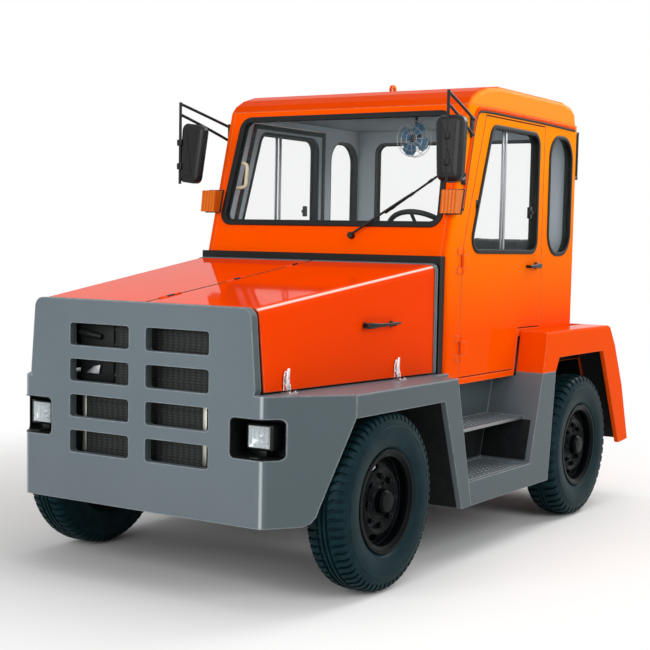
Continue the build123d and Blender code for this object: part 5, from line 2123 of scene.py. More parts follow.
@dataclass
class CabGlazing(SubAssembly):
    """Rubber seals, sliding-pane channels and catches of the cab's windows."""

    def build(self) -> None:
        """Model the seals, dividers and catches."""
        self.screen_seal()
        self.door_seals()
        self.opening_seals()
        self.quarter_seals()
        self.rear_seal()

    def rings(
        self,
        corners: Sequence[tuple[float, float]],
        rows: Sequence[tuple[str, float, float, float, float, float]],
        spot: Callable[[float, float, float], Point],
        steps: int = 9,
    ) -> list[Piece]:
        """Rubber rings round one window.

        Args:
            corners: Corners of its opening, across and up.
            rows: Of each ring its name, growth, corner radius, place over the face, width and depth.
            spot: Point for a place across, a height and a distance over the face.
            steps: Points on each rounded corner.

        Returns:
            The rings.
        """
        made = []
        for name, by, radius, proud, wide, deep in rows:
            line = rounded_outline(grown(corners, by), radius, steps)
            made.append(seal_ring(name, [spot(across, z, proud) for across, z in line], wide, deep))
        return made

    def screen_seal(self) -> None:
        """Wide rubber round the windscreen, outside and inside."""
        at = self.layout
        corners = [(-0.648, 1.555), (0.648, 1.555), (0.614, 2.098), (-0.614, 2.098)]
        rows = [
            ("windscreen_seal", 0.010, 0.065, 0.001, 0.030, 0.012),
            ("windscreen_inner_seal", 0.006, 0.061, -at.cab_wall - 0.0005, 0.020, 0.008),
            ("windscreen_lining", 0.001, 0.056, -at.cab_wall / 2, 0.006, at.cab_wall),
        ]
        for ring in self.rings(corners, rows, lambda y, z, proud: (at.screen_x(z) + proud, y, z)):
            self.place(ring, self.finishes.seal, "chassis")

    def door_seals(self) -> None:
        """Seal, divider and catches of each door's sliding window."""
        at = self.layout
        corners = [(0.182, 1.432), (-0.592, 1.432), (-0.592, 2.052), (-0.034, 2.052)]
        rows = [
            ("door_window_seal_left", 0.007, 0.077, 0.001, 0.022, 0.010),
            ("door_window_trim_left", 0.005, 0.075, -at.cab_wall - 0.0005, 0.018, 0.008),
            ("door_window_lining_left", 0.001, 0.071, -at.cab_wall / 2, 0.006, at.cab_wall),
        ]
        for ring in self.rings(corners, rows, lambda x, z, proud: (x, at.cab_half + proud, z)):
            self.place_pair(ring, self.finishes.seal, "door")
        bars = []
        for tag, x, deep in (("outer", -0.222, 0.016), ("inner", -0.230, 0.036)):
            low = (x, at.cab_half - deep, 1.436)
            high = (x + 0.018, at.cab_half - deep + 0.008, 2.048)
            bars.append(rounded_block(f"pane_divider_{tag}", low, high, 0.002))
        self.place_pair(joined("pane_divider_left", bars), self.finishes.alloy, "door")
        catches = []
        for x, z in ((0.112, 1.655), (-0.511, 1.640)):
            catches.append(
                rounded_block(
                    f"pane_catch_{x:.2f}",
                    (x - 0.013, at.cab_half - 0.017, z - 0.030),
                    (x + 0.013, at.cab_half + 0.002, z + 0.030),
                    0.004,
                )
            )
            catches.append(
                round_bar(
                    f"pane_knob_{x:.2f}",
                    (x, at.cab_half, z),
                    (x, at.cab_half + 0.012, z),
                    0.009,
                    16,
                    0.002,
                )
            )
        self.place_pair(joined("pane_catch_left", catches), self.finishes.grip, "door")

    def opening_seals(self) -> None:
        """Rubber round each door opening, behind the gap between door and cab."""
        at = self.layout
        corners = [
            (0.253, 0.832),
            (0.253, 1.426),
            (0.034, 2.095),
            (-0.658, 2.095),
            (-0.658, 1.043),
            (-0.390, 1.043),
            (-0.353, 0.832),
        ]
        y = at.cab_half - at.cab_wall - 0.0035
        left = seal_ring("door_opening_seal_left", [(x, y, z) for x, z in corners], 0.026, 0.006)
        self.place_pair(left, self.finishes.seal)

    def quarter_seals(self) -> None:
        """Seals of the two tall quarter windows."""
        at = self.layout
        corners = [(-1.026, 1.422), (-0.728, 1.422), (-0.728, 2.058), (-1.026, 2.058)]
        rows = [
            ("quarter_window_seal_left", 0.006, 0.128, 0.001, 0.020, 0.010),
            ("quarter_window_lining_left", 0.001, 0.123, -at.cab_wall / 2, 0.006, at.cab_wall + 0.002),
        ]
        for ring in self.rings(corners, rows, lambda x, z, proud: (x, at.cab_half + proud, z), 10):
            self.place_pair(ring, self.finishes.seal)

    def rear_seal(self) -> None:
        """Seal of the rear window, outside."""
        at = self.layout
        corners = [(-0.560, 1.450), (0.560, 1.450), (0.560, 2.062), (-0.560, 2.062)]
        rows = [
            ("rear_window_seal", 0.008, 0.068, 0.001, 0.024, 0.010),
            ("rear_window_lining", 0.001, 0.061, -at.cab_wall / 2, 0.006, at.cab_wall + 0.002),
        ]
        for ring in self.rings(corners, rows, lambda y, z, proud: (at.cab_rear_x - proud, y, z)):
            self.place(ring, self.finishes.seal, "chassis")


@dataclass
class CabOutside(SubAssembly):
    """Drip rail, mirrors, wiper and lamp bases on the cab."""

    rail_r: float = 0.009
    rod_r: float = 0.0075

    def build(self) -> None:
        """Model the fittings."""
        self.drip_rails()
        self.mirror_sets()
        self.wiper_set()
        self.lamp_bases()
        self.door_handles()

    def door_handles(self) -> None:
        """Lever handle of each door: round boss, tapered lever and two posts."""
        y = self.layout.cab_half
        x, z = -0.605, 1.365
        shape = [
            (x, z - 0.008),
            (x + 0.012, z - 0.014),
            (x + 0.040, z - 0.013),
            (x + 0.090, z - 0.011),
            (x + 0.136, z - 0.013),
            (x + 0.145, z - 0.006),
            (x + 0.143, z + 0.003),
            (x + 0.090, z + 0.006),
            (x + 0.040, z + 0.012),
            (x + 0.012, z + 0.013),
            (x, z + 0.007),
        ]
        lever = prism("door_lever", [(px, y + 0.021, pz) for px, pz in shape], (0.0, 0.014, 0.0), 0.004, 3)
        boss = round_bar(
            "door_lever_boss", (x + 0.016, y + 0.0003, z), (x + 0.016, y + 0.030, z), 0.0125, 24, 0.003
        )
        rose = round_bar(
            "door_lever_rose", (x + 0.016, y + 0.0003, z), (x + 0.016, y + 0.007, z), 0.019, 24, 0.002
        )
        foot = round_bar(
            "door_lever_foot",
            (x + 0.127, y + 0.0003, z - 0.004),
            (x + 0.127, y + 0.026, z - 0.004),
            0.008,
            16,
            0.002,
        )
        left = joined("door_lever_left", [lever, boss, rose, foot])
        self.place_pair(left, self.finishes.grip, "door", "door_handle")

    def drip_rails(self) -> None:
        """Rolled drip rail over each door, running down the front pillar, with a dark bar below it as
        painted shade.
        """
        at = self.layout
        y = at.cab_half + 0.002
        line = [
            (at.screen_x(1.640) - 0.058, y, 1.640),
            (at.screen_x(1.800) - 0.056, y, 1.800),
            (at.screen_x(1.980) - 0.054, y, 1.980),
            (at.screen_x(2.080) - 0.058, y, 2.080),
            (at.screen_x(2.118) - 0.075, y, 2.116),
            (0.060, y, 2.124),
            (-0.300, y, 2.124),
            (-0.700, y, 2.124),
            (-1.040, y, 2.118),
        ]
        left = bent_bar("drip_rail_left", line, self.rail_r)
        # The dark bar under the rail is painted shade for the shadow below it.
        shade = bent_bar("drip_seal_left", [(x - 0.011, y - 0.001, z - 0.012) for x, y, z in line], 0.0065)
        for piece, finish in ((left, self.finishes.orange), (shade, self.finishes.seal)):
            self.place_pair(piece, finish)

    def mirror_sets(self) -> None:
        """Mirror heads with their glass, on bent rods from the front pillars."""
        table = [
            (Side.LEFT, 0.757, 0.765, True, 0.0, ("mirrors",)),
            (Side.RIGHT, 0.800, 0.733, False, -7.0, ()),
        ]
        for side, pole_y, head_y, has_lower_arm, lean, nodes in table:
            tag = side.name.lower()
            head = self.mirror_head(f"mirror_head_{tag}", side.value * head_y)
            self.place(head, self.finishes.grip, "chassis", *nodes)
            line = rounded_outline(self.head_outline(side.value * head_y, -0.010), 0.028, 6)
            glass = prism(f"mirror_glass_{tag}", [(0.4715, y, z) for y, z in line], (0.002, 0.0, 0.0))
            middle = Vector((0.490, side.value * head_y, 1.904))
            tilt = Matrix.Rotation(math.radians(lean), 4, "X")
            for piece in (head, glass):
                piece.data.transform(Matrix.Translation(middle) @ tilt @ Matrix.Translation(-middle))
            self.place(glass, self.finishes.silver, "chassis")
            rods = self.mirror_rods(tag, side.value * pole_y, side.value, has_lower_arm)
            self.place(rods, self.finishes.black, "chassis")

    def head_outline(self, y: float, by: float) -> list[tuple[float, float]]:
        """Corners of a mirror head in Y and Z.

        Args:
            y: Middle of the head.
            by: How far outside the head's edge the corners lie.

        Returns:
            The corners.
        """
        corners = [(y - 0.063, 1.754), (y + 0.063, 1.754), (y + 0.075, 2.054), (y - 0.075, 2.054)]
        return grown(corners, by)

    def mirror_head(self, name: str, y: float) -> Piece:
        """Crowned shell with a recess for its glass.

        Args:
            name: Name of the piece.
            y: Middle of the head.

        Returns:
            The head.
        """
        line = rounded_outline(self.head_outline(y, 0.0), 0.036, 7)
        head = prism(name, [(0.470, py, z) for py, z in line], (0.030, 0.0, 0.0))
        pick_faces(head, lambda centre, normal: normal.x > 0.9)
        bpy.ops.mesh.inset(thickness=0.007, depth=0.007)
        bpy.ops.mesh.inset(thickness=0.013, depth=0.005)
        bpy.ops.mesh.inset(thickness=0.018, depth=0.002)
        bpy.ops.object.mode_set(mode="OBJECT")
        pick_faces(head, lambda centre, normal: normal.x < -0.9)
        bpy.ops.mesh.inset(thickness=0.006)
        bpy.ops.mesh.extrude_region_move(TRANSFORM_OT_translate={"value": (0.004, 0.0, 0.0)})
        bpy.ops.object.mode_set(mode="OBJECT")
        return settle(head, 60)

    def mirror_rods(self, tag: str, y: float, sign: int, has_lower_arm: bool) -> Piece:
        """Pole, arms, pillar foot and head clamp of one mirror.

        Args:
            tag: Side's name.
            y: Place of the pole.
            sign: Side's sign.
            has_lower_arm: True where a lower arm holds the pole too.

        Returns:
            The rods.
        """
        at = self.layout
        foot_y = sign * (at.cab_half + 0.0083)
        x = 0.508
        high, brace, low = 2.060, 1.992, 1.778
        arms = [
            [(x, y, 2.158), (0.330, (y + foot_y) / 2, 2.108), (at.screen_x(high) - 0.040, foot_y, high)],
            [(x, y, 2.104), (0.340, (y + foot_y) / 2, 2.050), (at.screen_x(brace) - 0.040, foot_y, brace)],
        ]
        if has_lower_arm:
            arms.append([(x, y, 1.756), (0.440, y, 1.752), (at.screen_x(low) - 0.030, foot_y, low)])
        rods = [
            bent_bar(
                f"mirror_pole_{tag}",
                [(x, y, 1.750), (x, y, 1.950), (x, y, 2.166)],
                self.rod_r,
                curved=False,
            ),
        ]
        rods += [bent_bar(f"mirror_arm_{tag}_{i}", line, self.rod_r) for i, line in enumerate(arms)]
        feet = [(at.screen_x(2.026) - 0.040, 2.026, 0.052)]
        if has_lower_arm:
            feet.append((at.screen_x(low) - 0.030, low, 0.028))
        for spot_x, spot_z, tall in feet:
            ys = sorted((sign * (at.cab_half - 0.001), sign * (at.cab_half + 0.009)))
            rods.append(
                rounded_block(
                    f"mirror_foot_{tag}_{spot_z:.2f}",
                    (spot_x - 0.017, ys[0], spot_z - tall),
                    (spot_x + 0.017, ys[1], spot_z + tall),
                    0.003,
                )
            )
            for shift in (-tall * 0.7, tall * 0.7):
                start = (spot_x, sign * (at.cab_half + 0.007), spot_z + shift)
                end = (spot_x, sign * (at.cab_half + 0.015), spot_z + shift)
                rods.append(
                    round_bar(f"mirror_foot_bolt_{tag}_{spot_z + shift:.2f}", start, end, 0.007, 6, 0.001),
                )
        for z in (1.840, 1.960):
            rods.append(
                rounded_block(
                    f"mirror_clamp_{tag}_{z:.2f}",
                    (0.496, y - 0.014, z - 0.016),
                    (0.520, y + 0.014, z + 0.016),
                    0.004,
                ),
            )
        return joined(f"mirror_rods_{tag}", rods)

    def wiper_set(self) -> None:
        """Wiper: pivot cap, tapered arm and blade with its rubber."""
        at = self.layout
        y0, z0 = 0.170, 1.498
        pivot = at.screen_x(z0)
        cap = round_bar(
            "wiper_cap", (pivot - 0.001, y0, z0), (pivot + 0.026, y0, z0 + 0.007), 0.016, 24, 0.004
        )
        tip = (at.screen_x(1.703) + 0.002, 0.465, 1.703)
        arm = bent_bar(
            "wiper_arm",
            [
                (pivot + 0.024, y0, z0 + 0.005),
                (at.screen_x(1.560) + 0.030, 0.262, 1.560),
                (at.screen_x(1.640) + 0.018, 0.374, 1.640),
                tip,
            ],
            0.006,
        )
        a = Vector((at.screen_x(1.612) - 0.004, 0.334, 1.612))
        b = Vector((at.screen_x(1.795) - 0.004, 0.598, 1.795))
        spine = round_bar("wiper_spine", a, b, 0.005, 8)
        rubber = round_bar("wiper_rubber", a + Vector((-0.006, 0, 0)), b + Vector((-0.006, 0, 0)), 0.004, 6)
        clips = []
        for share in (0.15, 0.5, 0.85):
            spot = a.lerp(b, share)
            along = (b - a).normalized() * 0.012
            clips.append(round_bar(f"wiper_clip_{share}", spot - along, spot + along, 0.0075, 8, 0.001))
        self.place(
            joined("wiper_arm_and_blade", [cap, arm, spine, rubber, *clips]),
            self.finishes.grip,
            "chassis",
            "wiper",
        )

    def lamp_bases(self) -> None:
        """Dark base plate behind each direction lamp."""
        at = self.layout
        y_in, y_out = at.cab_half - 0.054, at.cab_half + 0.040
        left = prism(
            "indicator_base_left",
            [
                (at.screen_x(z) + d, y_in, z)
                for z, d in ((1.607, 0.001), (1.727, 0.001), (1.727, 0.012), (1.607, 0.012))
            ],
            (0.0, y_out - y_in, 0.0),
            0.002,
        )
        self.place_pair(left, self.finishes.plastic)


@dataclass
class Steps(SubAssembly):
    """Well lined black as painted shade, chequered treads and worn nosings of the two steps on each side.
    """

    stud_long: float = 0.030
    stud_wide: float = 0.010
    stud_high: float = 0.0030
    pitch: tuple[float, float] = (0.042, 0.034)
    tread_in: float = 0.606
    # Each step: its name, its height and the outer edge of its studs.
    steps: tuple[tuple[str, float, float], ...] = (("upper", 0.600, 0.786), ("lower", 0.370, 0.836))

    def leg_x(self, z: float) -> float:
        """Station of the front leg's rear face at a height."""
        return 0.400 + (z - 0.254) / 0.609 * 0.160

    def panel_x(self, z: float) -> float:
        """Station of the rear panel's front face at a height."""
        return -0.213 - (z - 0.254) / 0.565 * 0.164

    def build(self) -> None:
        """Model the left steps and mirror them."""
        # The black well wall and back sheet are painted shade in the recess behind the treads.
        y = 0.5925
        heights = (0.386, 0.584)
        outline = [(self.panel_x(z) + 0.014, y, z) for z in heights] + [
            (self.leg_x(z) - 0.014, y, z) for z in reversed(heights)
        ]
        well = prism("step_well_left", outline, (0.0, 0.003, 0.0))
        ends = [(self.panel_x(z) + 0.001, 0.594, z) for z in heights]
        ends += [(self.panel_x(z) + 0.003, 0.594, z) for z in reversed(heights)]
        back = prism("step_well_back", ends, (0.0, 0.250, 0.0))
        self.place_pair(joined("step_well_left", [well, back]), self.finishes.painted_shade_lining)
        treads, nosings = [], []
        for tag, z, edge in self.steps:
            treads.append(self.tread(f"step_tread_{tag}", z, self.tread_in, edge))
            low = (self.panel_x(z) + 0.016, edge + 0.002, z - 0.013)
            high = (self.leg_x(z) - 0.016, edge + 0.0175, z + 0.003)
            nosings.append(rounded_block(f"step_nosing_{tag}", low, high, 0.003))
        self.place_pair(joined("step_tread_left", treads), self.finishes.tread)
        self.place_pair(joined("step_nosing_left", nosings), self.finishes.worn_steel)

    def tread(self, name: str, z: float, y_in: float, y_out: float) -> Piece:
        """Chequer studs of one tread: one stud, repeated both ways.

        Args:
            name: Name of the piece.
            z: Height of the tread.
            y_in: Inner edge of the pattern.
            y_out: Outer edge of the pattern.

        Returns:
            The studs.
        """
        x, y = self.panel_x(z) + 0.040, y_in + 0.014
        a, b = self.stud_long / 2, self.stud_wide / 2
        outline = [
            (x - a, y, z),
            (x - a / 2, y - b, z),
            (x + a / 2, y - b, z),
            (x + a, y, z),
            (x + a / 2, y + b, z),
            (x - a / 2, y + b, z),
        ]
        stud = prism(name, outline, (0.0, 0.0, self.stud_high))
        pick_faces(stud, lambda centre, normal: normal.z > 0.9)
        bpy.ops.transform.resize(value=(0.7, 0.5, 1.0))
        bpy.ops.object.mode_set(mode="OBJECT")
        along = int((self.leg_x(z) - 0.040 - x) / self.pitch[0]) + 1
        across = int((y_out - y) / self.pitch[1]) + 1
        for count, shift in ((along, (self.pitch[0], 0.0, 0.0)), (across, (0.0, self.pitch[1], 0.0))):
            apply_modifier(
                stud,
                "ARRAY",
                count=count,
                use_relative_offset=False,
                use_constant_offset=True,
                constant_offset_displace=shift,
            )
        return stud


@dataclass
class WheelHouses(SubAssembly):
    """Black linings inside the front and rear arches, as painted shade."""

    thick: float = 0.002

    def build(self) -> None:
        """Model the left linings and mirror them."""
        front = self.strip(
            "front_house_left",
            [(1.420, 0.8465), (0.6805, 0.8465), (0.6805, 0.7690), (0.4950, 0.2560)],
            (0.600, 0.848),
        )
        rear = self.strip(
            "rear_house_left",
            [(-0.440, 1.0085), (-1.2650, 1.0085), (-1.3500, 0.9010), (-1.4780, 0.6630), (-1.5960, 0.3480)],
            (0.654, 0.848),
        )
        inner = prism(
            "rear_house_wall_left",
            [
                (-0.545, 0.651, 0.996),
                (-0.545, 0.651, 0.824),
                (-1.385, 0.651, 0.824),
                (-1.286, 0.651, 0.996),
            ],
            (0.0, self.thick, 0.0),
        )
        for left in (front, joined("rear_house_left", [rear, inner])):
            self.place_pair(left, self.finishes.painted_shade_lining)

    def strip(self, name: str, line: Sequence[tuple[float, float]], ys: tuple[float, float]) -> Piece:
        """Thin sheet along a line in X and Z.

        Args:
            name: Name of the piece.
            line: Points of the line.
            ys: Inner and outer edge of the sheet.

        Returns:
            The sheet.
        """
        outline = [(x, ys[0], z) for x, z in ribbon(line, self.thick)]
        piece = prism(name, outline, (0.0, ys[1] - ys[0], 0.0))
        return settle(piece, 20)


@dataclass
class CabInside(SubAssembly):
    """Hand wheel, seat, instruments, pedals, fan and the inner grab bar."""

    wheel_centre: tuple[float, float, float] = (-0.030, 0.350, 1.500)
    column_foot: tuple[float, float, float] = (0.270, 0.350, 1.155)
    wheel_r: float = 0.1915
    grip_r: float = 0.0135
    padding_pressure: float = 4.0

    def build(self) -> None:
        """Model the inside fittings."""
        self.hand_wheel()
        self.seat()
        self.instruments()
        self.pedals()
        self.fan_unit()
        self.grab_bar()
        self.headliner()

    def headliner(self) -> None:
        """Padded board under the roof, with a turned-down front edge."""
        board = rounded_block("headliner", (-1.034, -0.668, 2.130), (0.150, 0.668, 2.142), 0.004)
        lip = prism(
            "headliner_lip",
            [
                (0.140, -0.668, 2.142),
                (0.140, -0.668, 2.128),
                (0.158, -0.668, 2.112),
                (0.163, -0.668, 2.120),
                (0.163, -0.668, 2.142),
            ],
            (0.0, 1.336, 0.0),
            0.002,
        )
        self.place(joined("headliner_board", [board, lip]), self.finishes.lining, "chassis")

    def hand_wheel(self) -> None:
        """Steering wheel with a round grip, hub cap and three spokes."""
        clear_bench()
        centre = Vector(self.wheel_centre)
        axis = (centre - Vector(self.column_foot)).normalized()
        turn = axis.to_track_quat("Z", "Y")
        bpy.ops.mesh.primitive_torus_add(
            major_radius=self.wheel_r,
            minor_radius=self.grip_r,
            major_segments=64,
            minor_segments=14,
            location=centre,
            rotation=turn.to_euler(),
        )
        rim = named("hand_wheel_grip")
        pieces = [settle(rim, 80)]
        for angle in (90, 210, 330):
            out = turn @ Vector((math.cos(math.radians(angle)), math.sin(math.radians(angle)), 0.0))
            start, end = centre + out * 0.030 - axis * 0.006, centre + out * self.wheel_r
            pieces.append(
                bent_bar(
                    f"hand_wheel_spoke_{angle}", [start, start.lerp(end, 0.5) - axis * 0.010, end], 0.009
                ),
            )
        pieces.append(
            round_bar("hand_wheel_hub", centre - axis * 0.021, centre + axis * 0.012, 0.042, 32, 0.006),
        )
        pieces.append(
            round_bar("hand_wheel_button", centre + axis * 0.010, centre + axis * 0.018, 0.026, 32, 0.004),
        )
        self.place(
            joined("hand_wheel", pieces), self.finishes.grip, "steering_hand_wheel", "steering_wheel"
        )

    def seat(self) -> None:
        """Seat with a swollen cushion and back on a steel box."""
        cushion = self.pad("seat_cushion", (-0.955, 0.115, 1.132), (-0.525, 0.585, 1.228), 0.022)
        back = self.pad("seat_back", (-0.036, 0.125, 0.0), (0.036, 0.575, 0.330), 0.014)
        lean = Matrix.Translation((-0.930, 0.0, 1.206)) @ Matrix.Rotation(math.radians(-13.5), 4, "Y")
        back.data.transform(lean)
        box = rounded_block("seat_box", (-0.895, 0.195, 1.0205), (-0.605, 0.505, 1.122), 0.008)
        tray = rounded_block("seat_tray", (-0.940, 0.130, 1.118), (-0.540, 0.570, 1.134), 0.005)
        hinge = [
            prism(
                f"seat_arm_{y:.2f}",
                [(-0.965, y, 1.126), (-0.900, y, 1.126), (-0.925, y, 1.300), (-0.972, y, 1.300)],
                (0.0, 0.008, 0.0),
                0.002,
            )
            for y in (0.118, 0.574)
        ]
        self.place(cushion, self.finishes.cloth, "chassis", "driver_seat")
        self.place(back, self.finishes.cloth, "chassis")
        self.place(joined("seat_stand", [box, tray, *hinge]), self.finishes.black, "chassis")

    def pad(self, name: str, low: Point, high: Point, swell: float) -> Piece:
        """Cushion blown up by cloth simulation inside its box, with two sewn channels.

        Args:
            name: Name of the piece.
            low: Lowest corner.
            high: Highest corner.
            swell: How far a point may move from the cut shape.

        Returns:
            The cushion.
        """
        a, b = Vector(low), Vector(high)
        inset = Vector((swell,) * 3) * 0.8
        piece = rounded_block(name, a + inset, b - inset, 0.020, 4)
        apply_modifier(piece, "REMESH", mode="VOXEL", voxel_size=0.006)
        homes = [spot.co.copy() for spot in piece.data.vertices]
        self.blow_up(piece)
        for spot, home in zip(piece.data.vertices, homes):
            move = spot.co - home
            if move.length > swell:
                move *= swell / move.length
            spot.co = [min(max(home[i] + move[i], a[i]), b[i]) for i in range(3)]
        size, middle = (b - a) / 2, (a + b) / 2
        thin = min(range(3), key=lambda i: size[i])
        for spot in piece.data.vertices:
            across = (spot.co[1] - middle[1]) / size[1]
            for seam in (-0.42, 0.42):
                dip = math.exp(-(((across - seam) / 0.035) ** 2)) * 0.007
                spot.co[thin] -= math.copysign(dip, spot.co[thin] - middle[thin])
        apply_modifier(piece, "SUBSURF", levels=1, render_levels=1)
        return settle(piece, 80)

    def blow_up(self, piece: Piece) -> None:
        """Press the cover outwards from inside, with no weight on it.

        Args:
            piece: The cut cover.
        """
        take(piece)
        cloth = piece.modifiers.new("padding", "CLOTH")
        cloth.settings.use_pressure = True
        cloth.settings.uniform_pressure_force = self.padding_pressure
        cloth.settings.effector_weights.gravity = 0.0
        cloth.settings.quality = 5
        for step in range(1, 21):
            bpy.context.scene.frame_set(step)
        bpy.ops.object.modifier_apply(modifier=cloth.name)
        bpy.context.scene.frame_set(1)

    def instruments(self) -> None:
        """Instrument hood with dials, switches and a stalk."""
        y = self.wheel_centre[1]
        hood = prism(
            "instrument_hood",
            [
                (0.296, y - 0.190, 1.497),
                (0.296, y - 0.190, 1.545),
                (0.228, y - 0.190, 1.556),
                (0.216, y - 0.190, 1.548),
                (0.236, y - 0.190, 1.470),
            ],
            (0.0, 0.380, 0.0),
            0.006,
        )
        self.place(hood, self.finishes.plastic, "chassis")
        faces, rims = [], []
        for shift in (-0.115, 0.0, 0.115):
            spot = Vector((0.2262, y + shift, 1.510))
            out = Vector((-0.968, 0.0, 0.25))
            rims.append(round_bar(f"dial_rim_{shift:.2f}", spot, spot + out * 0.008, 0.036, 32, 0.002))
            faces.append(
                round_bar(f"dial_face_{shift:.2f}", spot + out * 0.0075, spot + out * 0.009, 0.030, 32),
            )
        self.place(joined("dial_rims", rims), self.finishes.chrome, "chassis")
        self.place(joined("dial_faces", faces), self.finishes.grip, "chassis")
        switches = [
            rounded_block(
                f"dash_switch_{i}",
                (0.184, -0.060 - 0.062 * i, 1.394),
                (0.197, -0.020 - 0.062 * i, 1.424),
                0.003,
            )
            for i in range(5)
        ]
        stalk = bent_bar(
            "turn_stalk", [(0.085, 0.376, 1.368), (0.075, 0.440, 1.386), (0.062, 0.520, 1.396)], 0.006
        )
        lever = bent_bar(
            "gear_lever",
            [
                (-0.180, 0.020, 0.819),
                (-0.185, 0.020, 0.950),
                (-0.215, 0.030, 1.180),
                (-0.225, 0.033, 1.260),
            ],
            0.010,
        )
        knob = round_bar("gear_knob", (-0.224, 0.033, 1.250), (-0.232, 0.035, 1.306), 0.024, 24, 0.010)
        boot = turned(
            "gear_boot",
            [(0.075, 0.0), (0.066, 0.012), (0.060, 0.030), (0.040, 0.050), (0.026, 0.085), (0.012, 0.100)],
            (-0.181, 0.020, 0.8195),
            Way.UPWARDS,
            28,
        )
        self.place(joined("dash_switches", [*switches, stalk, lever, knob]), self.finishes.grip, "chassis")
        self.place(boot, self.finishes.seal, "chassis")

    def pedals(self) -> None:
        """Three foot pedals on arms from the fire wall."""
        pads, arms = [], []
        for y in (0.250, 0.400, 0.520):
            pads.append(
                rounded_block(
                    f"pedal_pad_{y:.2f}", (0.196, y - 0.035, 0.962), (0.210, y + 0.035, 1.035), 0.004
                ),
            )
            arms.append(
                bent_bar(
                    f"pedal_arm_{y:.2f}",
                    [(0.356, y, 1.085), (0.300, y, 1.070), (0.245, y, 1.030), (0.206, y, 0.998)],
                    0.008,
                ),
            )
        self.place(joined("pedal_pads", pads), self.finishes.seal, "chassis")
        self.place(joined("pedal_arms", arms), self.finishes.black, "chassis")

    def fan_unit(self) -> None:
        """Small cab fan: blue blades, wire guard, motor and stem."""
        centre = Vector((0.052, 0.325, 1.988))
        outline = [
            (0.010, 0.014, 0.010),
            (0.006, 0.052, 0.030),
            (0.002, 0.064, 0.052),
            (-0.004, 0.046, 0.074),
            (-0.008, 0.010, 0.083),
            (-0.008, -0.008, 0.060),
            (-0.004, -0.010, 0.014),
        ]
        blade = prism("fan_blade", [centre + Vector(spot) for spot in outline], (0.0025, 0, 0))
        blades = copy_round(blade, centre, Way.FORWARDS, 4)
        hub = round_bar(
            "fan_hub", centre - Vector((0.012, 0, 0)), centre + Vector((0.014, 0, 0)), 0.020, 24, 0.004
        )
        motor = round_bar(
            "fan_motor", centre - Vector((0.032, 0, 0)), centre - Vector((0.010, 0, 0)), 0.034, 24, 0.006
        )
        stem = bent_bar(
            "fan_stem",
            [
                centre + Vector((-0.020, 0, 0.026)),
                centre + Vector((-0.024, 0, 0.110)),
                centre + Vector((-0.012, 0, 0.183)),
            ],
            0.008,
        )
        guard = []
        for radius in (0.030, 0.060, 0.090):
            reach = 0.030 - 0.012 * (radius / 0.090) ** 2
            for face in (reach, -0.016):
                ring = []
                for step in range(16):
                    turn = step * math.pi / 8
                    ring.append(centre + Vector((face, radius * math.cos(turn), radius * math.sin(turn))))
                guard.append(bent_bar(f"fan_wire_{radius}_{face:.3f}", ring, 0.0014, closed=True, sides=2))
        for step in range(12):
            turn = step * math.pi / 6
            out = Vector((0.0, math.cos(turn), math.sin(turn)))
            line = ((0.018, 0.030), (0.060, 0.025), (0.090, 0.014), (0.0905, -0.016))
            spoke = [centre + out * reach + Vector((ahead, 0, 0)) for reach, ahead in line]
            guard.append(bent_bar(f"fan_spoke_{step}", spoke, 0.0012, sides=2))
        self.place(joined("fan_blades", [blades]), self.finishes.fan, "chassis", "cab_fan")
        self.place(joined("fan_motor_and_stem", [motor, stem, hub]), self.finishes.grip, "chassis")
        self.place(joined("fan_guard", guard), self.finishes.zinc, "chassis")

    def grab_bar(self) -> None:
        """Grab bar on the inner face of the right front pillar."""
        line = [
            (0.2640, -0.656, 1.736),
            (0.2380, -0.640, 1.740),
            (0.2260, -0.602, 1.744),
            (0.2235, -0.590, 1.752),
            (0.2230, -0.588, 1.766),
            (0.2150, -0.586, 1.846),
            (0.2145, -0.590, 1.860),
            (0.2160, -0.604, 1.868),
            (0.2240, -0.640, 1.873),
            (0.2340, -0.656, 1.875),
        ]
        self.place(bent_bar("pillar_grab_bar", line, 0.010), self.finishes.ivory, "chassis")


